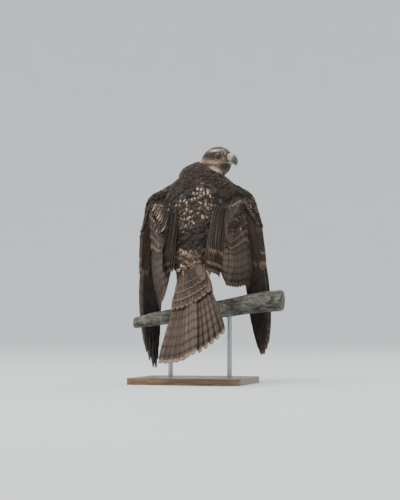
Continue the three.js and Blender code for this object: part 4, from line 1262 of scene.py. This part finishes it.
def wing_coverts(label, wing, lane, name, count, start, reach, lift, wide, first, last):
    """One row of coverts: even places along the wing, each moved a little by chance."""
    k = np.linspace(first, last, count) + random.normal(size=count) * 0.004
    leaf, flip = row_of_feathers(
        covert_sheet(wing, start, reach, lift), k, wing_outward(wing), wide * 0.8, wide * 1.3,
        COVERT_WIDTHS, 15, camber=0.1, thick=0.7, tip=0.9, ruffle=0.02)
    chance = random.random(count)
    ground = mix(DARK, BROWN, (0.2 + chance)[:, None])
    spots = np.clip(blotch(leaf[0][:, COVERT_TIP]) * (0.4 + chance) + 0.2 * (chance > 0.7), 0, 1)
    show_feathers(name + "_" + label, leaf, wing_map(label, k, lane), ground, spots, covert_finish, flip=flip)


for label, wing in WINGS.items():
    flight_feathers(label, wing)
    for lane, row in enumerate(COVERT_ROWS, 1):
        wing_coverts(label, wing, lane, *row)

# %% [markdown]
# Long loose flank feathers close the gap between body, wings and tail. Longer body feathers could do
# it too, but they would stand off the skin in tufts. Three rows of soft vanes, hung from the sides of
# the lower body, fall together as the real ones do.

# %% Flanks
FLANK_COUNT = 15
FLANK_ROWS = [(0.34, 0.02, 15), (0.42, 0.1, 13), (0.5, 0.2, 10)]


def flank_turn(side, k):
    """The angle round the body, from the back at k = 0 to the belly at k = 1."""
    return side * np.radians(mix(36, 104, k))


def flank_sheet(side, top, foot, lift):
    """From the body's surface at share top down to share foot, moving outward by the lift on the
    way, and hanging down and out by the square of t."""
    def sheet(k, t):
        k, t = np.broadcast_arrays(np.asarray(k, float), np.asarray(t, float))
        first = body_surface(BODY, mix(top, foot, t), flank_turn(side, k), mix(-2, lift, t**1.3))
        return first + np.array([side * 4, 0, -16]) * t[..., None] ** 2
    return sheet


def flank_outward(side):
    """Away from the body: its surface lifted by one millimetre, less the surface itself."""
    def outward(k, t):
        level = np.full(np.broadcast(k, t).shape, 0.3)
        turn = flank_turn(side, k) + 0 * t
        return body_surface(BODY, level, turn, 1.0) - body_surface(BODY, level, turn, 0.0)
    return outward


for label, side in (("left", -1), ("right", 1)):
    for lane, (top, foot, lift) in enumerate(FLANK_ROWS, 1):
        k = np.linspace(0.03, 0.97, FLANK_COUNT) + random.normal(size=FLANK_COUNT) * 0.01
        leaf, flip = row_of_feathers(
            flank_sheet(side, top, foot, lift), k, flank_outward(side), 9, 11, COVERT_WIDTHS, 14,
            camber=0.12, thick=0.6, tip=0.9, ruffle=0.03)
        chance = random.random(FLANK_COUNT)
        toward_belly = (0.9 * np.clip((k - 0.7) / 0.2, 0, 1))[:, None]
        ground = mix(mix(DARK, BROWN, chance[:, None]), mix(WARM, BUFF, chance[:, None]), toward_belly)
        flank_map = np.stack([0.5 + 0.25 * side * k, np.full(FLANK_COUNT, 0.2 * lane - 0.1)], 1)
        name = "flank_plumage_%s_%d" % (label, lane)
        show_feathers(name, leaf, flank_map, ground, 0.25 * chance, covert_finish, flip=flip)

# %% [markdown]
# The tail is a fan of twelve feathers, swung to the right, with the middle pair on top and each other
# one under its inner neighbour. It could be one bent plate with grooves, but the fan's edge and the
# gaps between the tips would be lost. Coverts hide the roots above and below, tan-edged like the rump.

# %% Tail
TAIL_LENGTH = 236
TAIL_FAN = 19
TAIL_BASE = 20
TAIL_COUNT = 12
MIDDLE_PAIR = slice(5, 7)
NARROW_WEB = 9.5
WIDE_WEB = 15
# Columns: number of feathers, reach, lift and width in mm, fan in degrees, width of the base in mm.
TAIL_COVERTS = [
    (9, 102, 5, 8.5, 18, 24), (9, 82, 7.2, 8.5, 17, 24),
    (8, 62, 9.4, 8.5, 16, 23), (8, 44, 11.2, 8.5, 15, 22),
]


def tail_outward(sign):
    """Above the fan for a sign of 1 and below it for -1."""
    def outward(k, t):
        return sign * TAIL_UP
    return outward


def tail_map(k, lane):
    """A root's place on the tail's unwrap: k across, one lane for each row."""
    return np.stack([0.5 + 0.45 * k, np.full_like(k, 0.05 + 0.1 * lane)], 1)


half_tail = (np.arange(TAIL_COUNT // 2) + 0.5) / (TAIL_COUNT // 2)
k = np.concatenate([-half_tail[::-1], half_tail])
over = np.where(k < 0, 1.0, -1.0)
less = np.where(k < 0, NARROW_WEB, WIDE_WEB)
more = np.where(k < 0, WIDE_WEB, NARROW_WEB)
over[MIDDLE_PAIR] = 0
less[MIDDLE_PAIR] = more[MIDDLE_PAIR] = 13
(points, faces, vane_map), flip = row_of_feathers(
    tail_sheet(TAIL_LENGTH, TAIL_BASE, TAIL_FAN), k, tail_outward(1), less, more, RECTRIX_WIDTHS, 13, over,
    rows=26, camber=0.06, thick=0.8, tip=0.6, ruffle=0.012)
deck = np.zeros((TAIL_COUNT, 1, 1))
deck[MIDDLE_PAIR, 0, 0] = (3.2, 4.4)
darker = np.clip(0.25 + 0.4 * np.abs(k) + 0.15 * random.normal(size=TAIL_COUNT), 0, 1)[:, None]
show_feathers("tail_feathers", (points + deck * TAIL_UP, faces, vane_map), tail_map(k, 0),
              mix(WARM, mix(DARK, BROWN, 0.6), darker), np.full(TAIL_COUNT, 0.25), rectrix_finish,
              "tail", flip=flip)

# %% Tail coverts
for lane, (count, reach, lift, wide, fan, base) in enumerate(TAIL_COVERTS, 1):
    for where, sign in (("above", 1), ("below", -1)):
        k = np.linspace(-0.92, 0.92, count) + random.normal(size=count) * 0.02
        leaf, flip = row_of_feathers(
            tail_sheet(reach, base, fan, sign * lift), k, tail_outward(sign), wide * 1.05, wide * 1.25,
            COVERT_WIDTHS, 13, camber=0.12, thick=0.6, tip=0.8, ruffle=0.02)
        chance = random.random(count)[:, None]
        ground = mix(DARK, WARM, 0.1 + 0.75 * chance) if sign > 0 else mix(CREAM, BUFF, chance)
        lane_on_map = lane + 2 - 2 * sign
        show_feathers("tail_coverts_%s_%d" % (where, lane), leaf, tail_map(k, lane_on_map), ground,
                      np.full(count, 0.2), covert_finish, flip=flip)

# %% [markdown]
# The face is what one looks at first. A hawk's eye is a dark, wet ball that fills the side of its
# head, with bare lids round it. It could be a dark disc, but then it wouldn't catch the light as the
# head turns. So it is a whole ball, set as deep as a real one, and the lids are a wrinkled ring on it.

# %% Eyes and lids
LID_RADIUS = 7.4
LID_SHAPE = (60, 12)
POLE = 0.015


def eye_finish():
    """Black pupil, dark brown streaked iris and a darker rim, by the angle from the eye's axis."""
    g = Graph("dark_eye", 0.12, Coat_Weight=0.35, Coat_Roughness=0.03, Specular_IOR_Level=0.35)
    _, along = g.uv("gaze")
    streak = g.noise(g.place(), 2600, 3)
    iris = g.blend(streak, paint(26, 18, 13), paint(46, 32, 22))
    iris = g.blend(g.ramp(along, 0.5, 0.56), iris, paint(22, 16, 13))
    return g.finish(g.blend(g.ramp(along, 0.22, 0.25), paint(6, 5, 5), iris))


def lid_finish():
    """Grey to olive bare skin by a fine noise, which also wrinkles it."""
    g = Graph("bare_lid", 0.55)
    grain = g.noise(g.place(), 1800, 4)
    return g.finish(g.blend(grain, paint(58, 52, 46), paint(112, 104, 84)), grain, 0.0002, 0.5)


def eye_circle(side, angle):
    """Unit vectors square to the eye's axis: cos * first + sin * second."""
    first = unit(np.cross(eye_axis(side), UP))
    second = np.cross(eye_axis(side), first)
    return np.cos(angle)[..., None] * first + np.sin(angle)[..., None] * second


def eyeball(label, side, finish):
    """A ball: centre + radius * (cos(polar) * axis + sin(polar) * circle), and its gaze map."""
    s, angle = ring_grid(32, 48)
    polar = POLE + s * (np.pi - 2 * POLE)
    spoke = np.cos(polar)[..., None] * eye_axis(side) + np.sin(polar)[..., None] * eye_circle(side, angle)
    gaze = np.stack(np.broadcast_arrays(angle / 7, s * 2), -1)
    ball = eye_centre(side) + EYE_RADIUS * spoke
    closed_tube("eyeball_" + label, ball, finish, "eye_" + label, uv={"gaze": gaze})


def lid(label, side, finish):
    """A ring on the ball: its section is a circle whose size ripples nine times round the eye."""
    turn, around = (np.linspace(0, 2 * np.pi, count, endpoint=False) for count in LID_SHAPE)
    turn, around = turn[:, None], around[None]
    thick = 1.15 + 0.12 * np.sin(turn * 9)
    rim = LID_RADIUS * (1 - 0.1 * np.sin(turn) ** 2) + 0.6 + thick * np.cos(around)
    depth = math.sqrt(EYE_RADIUS**2 - LID_RADIUS**2) + 0.1 + 0.7 * thick * np.sin(around)
    points = eye_centre(side) + depth[..., None] * eye_axis(side) + rim[..., None] * eye_circle(side, turn)
    index = np.arange(turn.size * around.size).reshape(LID_SHAPE)
    after = np.roll(index, -1, axis=0)
    quads = np.stack([index, np.roll(index, -1, 1), np.roll(after, -1, 1), after], -1).reshape(-1, 4)
    mesh = make_mesh("lid_" + label, points, [quads])
    turn_outward(mesh)
    show("lid_" + label, mesh, finish)


the_eye, the_lid = eye_finish(), lid_finish()
for label, side in (("left", 1), ("right", -1)):
    eyeball(label, side, the_eye)
    lid(label, side, the_lid)
print("eye width, mm", 2 * EYE_RADIUS)

# %% [markdown]
# The bill is horn: two hooked halves, the upper drawn down over the lower, with the waxy cere at its
# root. One ball drawn out to a hook would be quick, but it has no mouth. Each half is a loft whose
# middle line bends like the real one's. The nostril is pressed into the cere by moving its points
# inward and painted dark as the shade inside it, and a soft fold runs from the corner of the mouth to
# below the eye.

# %% Shape and finish of the bill
# Columns: forward, up, half width, half height.
BILL_UPPER = np.array([
    [26, 9.5, 9.2, 9.3], [33, 9.8, 8.6, 9.2], [39, 8.9, 7.6, 8.5], [44, 6.2, 6, 7.1],
    [47.6, 1.8, 4.3, 5.1], [48.6, -3, 2.7, 3.3], [47.6, -7.4, 0.9, 1.3],
], float)
BILL_LOWER = np.array([
    [26, -2.6, 7.8, 3.6], [34, -2.4, 6.8, 3.5], [40, -2.2, 5.0, 3.0], [45.2, -2.6, 2.4, 1.6],
], float)
HORN_FROM = 0.27
CERE_TO = 0.33
CERE_SWELL = 0.5
NOSTRIL_AHEAD = 34.5
NOSTRIL_ABOVE = 11.5
NOSTRIL_LENGTH = 1.9
NOSTRIL_HEIGHT = 1.3
NOSTRIL_DEPTH = 1.6
GAPE = [(36, 7.6, -1.4), (31, 11.6, -1.8), (26, 16.6, -2.8), (21, 21.0, -4.4)]
GAPE_RADII = [1.2, 1.3, 1.2, 0.5]


def bill_surface(stations, begin, end, rows, sides, lift=0.0):
    """Rings that lean with the middle line: half height along the line's normal, half width sideways,
    with the top drawn into a soft ridge."""
    s, angle = ring_grid(rows, sides)
    s = begin + (end - begin) * s[:, 0]
    middle = smooth_curve(stations[:, :2], s)
    way = unit(np.gradient(middle, axis=0))
    wide, high = (values(stations[:, i], s)[:, None] + lift for i in (2, 3))
    rise = np.cos(angle) * high
    across = np.sin(angle) * wide * (1 - 0.18 * np.maximum(np.cos(angle), 0) ** 2)
    return in_head(middle[:, :1] - way[:, 1:] * rise, across, middle[:, 1:] + way[:, :1] * rise)


def horn_finish():
    """Pale grey at the root and dark at the tip by the distance ahead, with a long fine grain."""
    g = Graph("bill_horn", 0.32, Coat_Weight=0.25, Coat_Roughness=0.2)
    grain = g.noise(g.place((1, 1, 0.35)), 700, 4)
    tip = g.ramp(g.attribute("ahead", "Fac"), 37, 45)
    colour = g.blend(tip, paint(146, 142, 132), paint(66, 64, 64))
    colour = g.blend(g.ramp(grain, 0.3, 0.7, 0.0, 0.3), colour, paint(70, 70, 70))
    return g.finish(colour, grain, 0.0002, 0.35)


def cere_finish():
    """Dull yellow wax, blackened by the share of pit that the mesh stores: painted shade in the nostril
    holes, and a duller tone on the gape.
    """
    g = Graph("waxy_cere", 0.42, Subsurface_Weight=0.1)
    grain = g.noise(g.place(), 900, 3)
    colour = g.blend(grain, paint(150, 142, 104), paint(184, 176, 138))
    # Painted shade: the pit share blackens the nostril holes. The gape's fixed share only dulls its colour.
    colour = g.blend(g.attribute("pit", "Fac"), colour, paint(24, 20, 18))
    return g.finish(colour, grain, 0.0003, 0.4)


def nostrils(cere):
    """How deep each point lies in a nostril: exp(-r^4) with r in half sizes, on both sides."""
    ahead, leftward, above = head_frame(cere)
    far = ((ahead - NOSTRIL_AHEAD) / NOSTRIL_LENGTH) ** 2 + ((above - NOSTRIL_ABOVE) / NOSTRIL_HEIGHT) ** 2
    return np.exp(-far**2) * (leftward != 0), np.sign(leftward)


print("bill from root to its foremost point, mm", round(np.ptp(BILL_UPPER[:, 0]), 1))

# %% Pieces of the bill
the_horn, the_cere = horn_finish(), cere_finish()
upper = bill_surface(BILL_UPPER, HORN_FROM, 1, 60, 40)
closed_tube("upper_bill", upper, the_horn, "bill_upper", numbers={"ahead": head_frame(upper)[0]})
lower = bill_surface(BILL_LOWER, 0, 1, 40, 32)
closed_tube("lower_bill", lower, the_horn, "bill_lower", numbers={"ahead": head_frame(lower)[0] - 2})
cere = bill_surface(BILL_UPPER, 0, CERE_TO, 60, 96, CERE_SWELL)
pit, sign = nostrils(cere)
cere = cere - (pit * sign * NOSTRIL_DEPTH)[..., None] * LEFT
# The nostrils' pits are painted nearly black as the shade inside them.
closed_tube("waxy_cere", cere, the_cere, "cere", numbers={"pit": np.clip(pit * 1.6 - 0.3, 0, 1)})
for label, side in (("left", 1), ("right", -1)):
    corner_line = [in_head(forward, side * across, up) for forward, across, up in GAPE]
    gape = tube(corner_line, GAPE_RADII, 30, 16, (0, 0, 1), 0.7)
    closed_tube("gape_" + label, gape, the_cere, numbers={"pit": np.full(gape.shape[:2], 0.45)})

# %% [markdown]
# The bare shanks and toes are yellow and scaly. Bump in the finish alone could draw the plates, but
# they would vanish on the outline. So they are raised in the surface itself: the radius swells once
# for each plate, and a second wave round the toe rounds its edges. Toes follow the branch, and each
# claw is a hooked cone that starts inside its toe's end.

# %% Places on the branch
# Columns: x, z of the middle, radius.
BRANCH = np.array([
    [-146, -24, 12.5], [-90, -14, 15.5], [-10, -2, 18.5], [70, 9, 20.5], [130, 19, 22.5], [192, 25, 23.5],
], float)
TOE_RADIUS = 4.6
CLAW_LENGTH = 22
CLAW_OVERLAP = 4
# For each toe: its offset along the branch, where it leaves the foot and where it ends in degrees
# round the branch, and how far its end leans sideways in mm.
TOES = {
    "inner": (-15, 8, 96, -9), "middle": (0, 8, 112, 0),
    "outer": (15, 8, 92, 9), "hind": (-3, -8, -84, 0),
}
TOE_BULGES = [5.0, 4.5, 4.9, 4.3, 4.6, 4.0]
CLAW_RADII = [3.0, 2.8, 2.3, 1.7, 1.1, 0.35]
SHANK_RADII = [5.6, 4.9, 5.2, 6.6]
SHANK_PLATES = 15
TOE_PLATES = 13


def branch_radius(x):
    """The branch's radius at x, straight between the columns' rows."""
    return np.interp(x, BRANCH[:, 0], BRANCH[:, 2])


def on_branch(x, degrees, height):
    """A place above the branch's surface, by degrees from its top toward +Y."""
    middle = np.interp(x, BRANCH[:, 0], BRANCH[:, 1])
    reach, turn = branch_radius(x) + height, np.radians(degrees)
    return np.stack(np.broadcast_arrays(x, np.sin(turn) * reach, middle + np.cos(turn) * reach), -1)


def toe_line(side, x, toe, first, last, heights):
    """Six places from first to last degree: the toe spreads along the branch as it goes round."""
    spread, begin, end, lean = toe
    degrees = np.linspace(first, last, 6)
    progress = (degrees - begin) / (end - begin)
    along = spread * np.minimum(1, progress * 1.2) + lean * 0.2
    return on_branch(x + side * along, degrees, np.linspace(*heights, 6))


print("branch radius under the feet, mm", [round(float(branch_radius(x)), 1) for _, x in FEET.values()])

# %% Scales and claws
def plated(points, count, swell=0.35):
    """Rings pushed out from their own middles by a row of round-topped plates."""
    rows, sides = points.shape[:2]
    s, angle = ring_grid(rows, sides)
    plate = np.abs(np.sin(np.pi * s * count)) ** 0.5 * np.clip(0.7 + 0.6 * np.cos(angle), 0.35, 1)
    middle = points.mean(1, keepdims=True)
    return points + unit(points - middle) * (swell * (plate - 0.6))[..., None]


def scale_finish():
    """Yellow skin in small cells, brown in the seams between them."""
    g = Graph("yellow_scales", 0.48)
    place = g.place()
    cells = g.nodes.new("ShaderNodeTexVoronoi")
    cells.inputs["Scale"].default_value = 620
    g.links.new(place, cells.inputs["Vector"])
    from_middle = cells.outputs["Distance"]
    colour = g.blend(g.noise(place, 160, 3), paint(186, 158, 78), paint(216, 192, 116))
    colour = g.blend(g.ramp(from_middle, 0.45, 0.75, 0.0, 0.5), colour, paint(120, 96, 50))
    return g.finish(colour, g.work_out("SUBTRACT", 1.0, from_middle), 0.0005, 0.5)


def claw_finish():
    """Black horn with a faint grain."""
    g = Graph("black_claw", 0.28, Coat_Weight=0.3, Coat_Roughness=0.15)
    grain = g.noise(g.place(), 1100, 3)
    return g.finish(g.blend(grain, paint(18, 17, 18), paint(46, 43, 42)), grain, 0.0001, 0.3)


the_scales, the_claw = scale_finish(), claw_finish()
print("finishes", the_scales.name, the_claw.name)

# %% Shanks, toes and claws
def shank(label, x, finish):
    """The bare leg: a plated tube from the ankle straight down to the top of the branch."""
    ankle = np.array([x, -22, 70.0])
    sole = on_branch(x, 0, TOE_RADIUS + 1.5)
    line = [ankle, mix(ankle, sole, 0.4), mix(ankle, sole, 0.75), sole]
    leg = plated(tube(line, SHANK_RADII, 90, 32), SHANK_PLATES)
    closed_tube("shank_" + label, leg, finish, "shank_" + label)


def toe_and_claw(label, side, x, name, toe, nodes):
    """A plated toe that grips the branch, and its claw, which goes on round it by its own length."""
    end = toe[2]
    direction = np.sign(end)
    degree = (branch_radius(x) + TOE_RADIUS) * np.pi / 180
    line = toe_line(side, x, toe, 0, end, (TOE_RADIUS + 0.5, TOE_RADIUS * 0.8 + 0.5))
    toe_skin = plated(tube(line, TOE_BULGES, 80, 24), TOE_PLATES, 0.3)
    closed_tube("toe_%s_%s" % (name, label), toe_skin, the_scales, *nodes)
    first, last = end - CLAW_OVERLAP * direction, end + direction * CLAW_LENGTH / degree
    line = toe_line(side, x, toe, first, last, (TOE_RADIUS, 1.5))
    claw = tube(line, CLAW_RADII, 40, 20)
    closed_tube("claw_%s_%s_horn" % (name, label), claw, the_claw, "claw_%s_%s" % (label, name))


for label, (side, x) in FEET.items():
    shank(label, x, the_scales)
    for name, toe in TOES.items():
        toe_and_claw(label, side, x, name, toe, ["foot_" + label] if name == "inner" else [])

# %% [markdown]
# The perch is a cut length of a rough branch. Displacement in the finish could roughen a plain tube,
# but the bark's outline has to be rough in every copy. So its radius carries long ridges, knots and
# small cracks, summed from waves that run along and around. Grey-green lichen is left to the finish.

# %% Perch
BARK_SHAPE = (260, 96)
END_SHARE = 0.86


def soft_noise(s, angle, count, across, along):
    """A sum of waves with random phases: rough but smooth, and equal where the angle closes."""
    total = np.zeros(np.broadcast(s, angle).shape)
    for _ in range(count):
        n, m = random.integers(1, across), random.uniform(0.2, 1) * along
        around = np.sin(n * angle + 2 * np.pi * (m * s + random.random()))
        total += around * np.sin(2 * np.pi * (random.random() + m * 0.6 * s))
    return total / math.sqrt(count)


def bark_finish():
    """Grey-brown by a noise stretched along the branch, with lichen where two other noises meet."""
    g = Graph("lichened_bark", 0.88)
    ridge = g.noise(g.place((0.35, 1, 1)), 160, 6, 0.65)
    clump = g.noise(g.place(), 42, 4, 0.6)
    speck = g.noise(g.place(), 300, 3)
    lichen = g.times(g.ramp(clump, 0.5, 0.6), g.ramp(speck, 0.35, 0.6))
    colour = g.blend(g.ramp(ridge, 0.35, 0.65), paint(46, 42, 38), paint(104, 98, 90))
    colour = g.blend(g.times(lichen, 0.75), colour, paint(136, 142, 122))
    return g.finish(colour, g.plus(ridge, g.times(lichen, 0.35)), 0.003, 0.8)


s, angle = ring_grid(*BARK_SHAPE)
middle_line = np.stack([BRANCH[:, 0], 0 * BRANCH[:, 0], BRANCH[:, 1]], 1)
centre = smooth_curve(middle_line, s[:, 0])[:, None]
bark = 0.5 * soft_noise(s, angle, 14, 6, 4) + 0.35 * soft_noise(s, angle, 30, 24, 26) - 0.5
to_end = np.clip(np.minimum(s, 1 - s) * 90, 0, 1) ** 0.5
reach = (values(BRANCH[:, 2], s) + bark) * mix(END_SHARE, 1, to_end)
branch = centre + np.stack(np.broadcast_arrays(0 * reach, np.sin(angle) * reach, np.cos(angle) * reach), -1)
closed_tube("perch_bark", branch, bark_finish(), "perch_branch")

# %% [markdown]
# The stand is a wooden base and two steel rods, as under a museum piece. New meshes could replace
# them, but plain boards and rods are exact as they are, so the frame's own solids stay and get a
# finish alone. The grain runs along the base, and the rods are brushed round.

# %% Stand
def wood_finish():
    """Brown wood by a noise stretched along X, with finer dark pores."""
    g = Graph("oiled_wood", 0.42, Coat_Weight=0.15, Coat_Roughness=0.3)
    grain = g.noise(g.place((0.12, 1, 1)), 130, 5, 0.6)
    pores = g.noise(g.place((0.05, 1, 1)), 900, 3)
    colour = g.blend(g.ramp(grain, 0.35, 0.68), paint(92, 66, 46), paint(138, 104, 74))
    colour = g.blend(g.ramp(pores, 0.4, 0.7, 0.0, 0.35), colour, paint(64, 45, 32))
    return g.finish(colour, g.plus(grain, pores), 0.0004, 0.3)


def steel_finish():
    """Grey metal with fine lines round the rod: a noise pressed flat along Z."""
    g = Graph("brushed_steel", 0.34, Metallic=1.0)
    line = g.noise(g.place((1, 1, 12)), 260, 3)
    return g.finish(g.blend(line, paint(150, 152, 154), paint(186, 188, 190)), line, 0.0001, 0.25)


the_steel = steel_finish()
for name, finish in (("stand_base", wood_finish()), ("stand_rod_1", the_steel), ("stand_rod_2", the_steel)):
    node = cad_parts[name]
    node.data.materials.clear()
    node.data.materials.append(finish)
    print(name, "has", finish.name)

# %% [markdown]
# The bird stands before a pale, even sky. A backdrop could be a plane behind it, but its edge would
# show from other sides. A pale sweep, flat under the stand and rising far away on every side, has no
# edge from any angle. The light is that of a bright overcast day: one broad light from above, and two
# weak ones that open the shadows.

# %% Floor and light
# Columns: distance from the middle and height, in metres.
SWEEP = [(0.001, 0), (3, 0), (9, 0), (13, 0.6), (15.5, 3), (16.5, 8)]
SWEEP_FLAT_TO = 9
SWEEP_SHAPE = (60, 96)
SKY_STRENGTH = 1.5


def floor_finish():
    """Matt pale grey with a faint, wide unevenness."""
    g = Graph("pale_floor", 0.8)
    return g.finish(g.blend(g.noise(g.place(), 3, 3), paint(214, 216, 216), paint(220, 221, 221)))


def sweep():
    """A bowl: the distance from the middle and the height both follow one curve through SWEEP."""
    s, angle = ring_grid(*SWEEP_SHAPE)
    radius, height = (values([point[i] for point in SWEEP], s) for i in (0, 1))
    height = np.where(radius < SWEEP_FLAT_TO, 0, np.maximum(height, 0))
    bowl = np.stack(np.broadcast_arrays(np.cos(angle) * radius, np.sin(angle) * radius, height), -1)
    return make_mesh("floor", (bowl - PERCH) / MM, tube_faces(*SWEEP_SHAPE)[:1])


def area_light(name, place, size, power, aim=(0, 0, 0.3)):
    """A square light at a place in metres, turned toward its aim."""
    light = bpy.data.objects.new(name, bpy.data.lights.new(name, "AREA"))
    light.data.size = size
    light.data.energy = power
    light.location = place
    light.rotation_mode = "QUATERNION"
    light.rotation_quaternion = (Vector(aim) - Vector(place)).to_track_quat("-Z", "Y")
    bpy.context.scene.collection.objects.link(light)


floor = bpy.data.objects.new("floor", sweep())
floor.data.materials.append(floor_finish())
bpy.context.scene.collection.objects.link(floor)
floor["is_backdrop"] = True
area_light("sky_light", (-0.8, -1.6, 3.4), 3.0, 110)
area_light("left_light", (-3.0, -1.2, 1.2), 2.0, 16)
area_light("far_light", (1.5, 3.0, 2.4), 2.5, 30)
world = bpy.data.worlds.new("overcast")
bpy.context.scene.world = world
world.use_nodes = True
sky = world.node_tree.nodes["Background"]
sky.inputs["Color"].default_value = (0.82, 0.86, 0.88, 1)
sky.inputs["Strength"].default_value = SKY_STRENGTH
print("floor", len(floor.data.polygons), "faces, sky strength", SKY_STRENGTH)

# %% [markdown]
# The finished bird has to be as big as the frame. It could be checked by eye, but feathers hide their
# length, so both boxes are measured, and the last line prints how far they differ.

# %% Sizes and the end
low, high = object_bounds()
past = [round((a - b) / MM, 1) for a, b in zip((*low, *high), (*cad_low, *cad_high))]
print("visual minus frame box, mm", past)
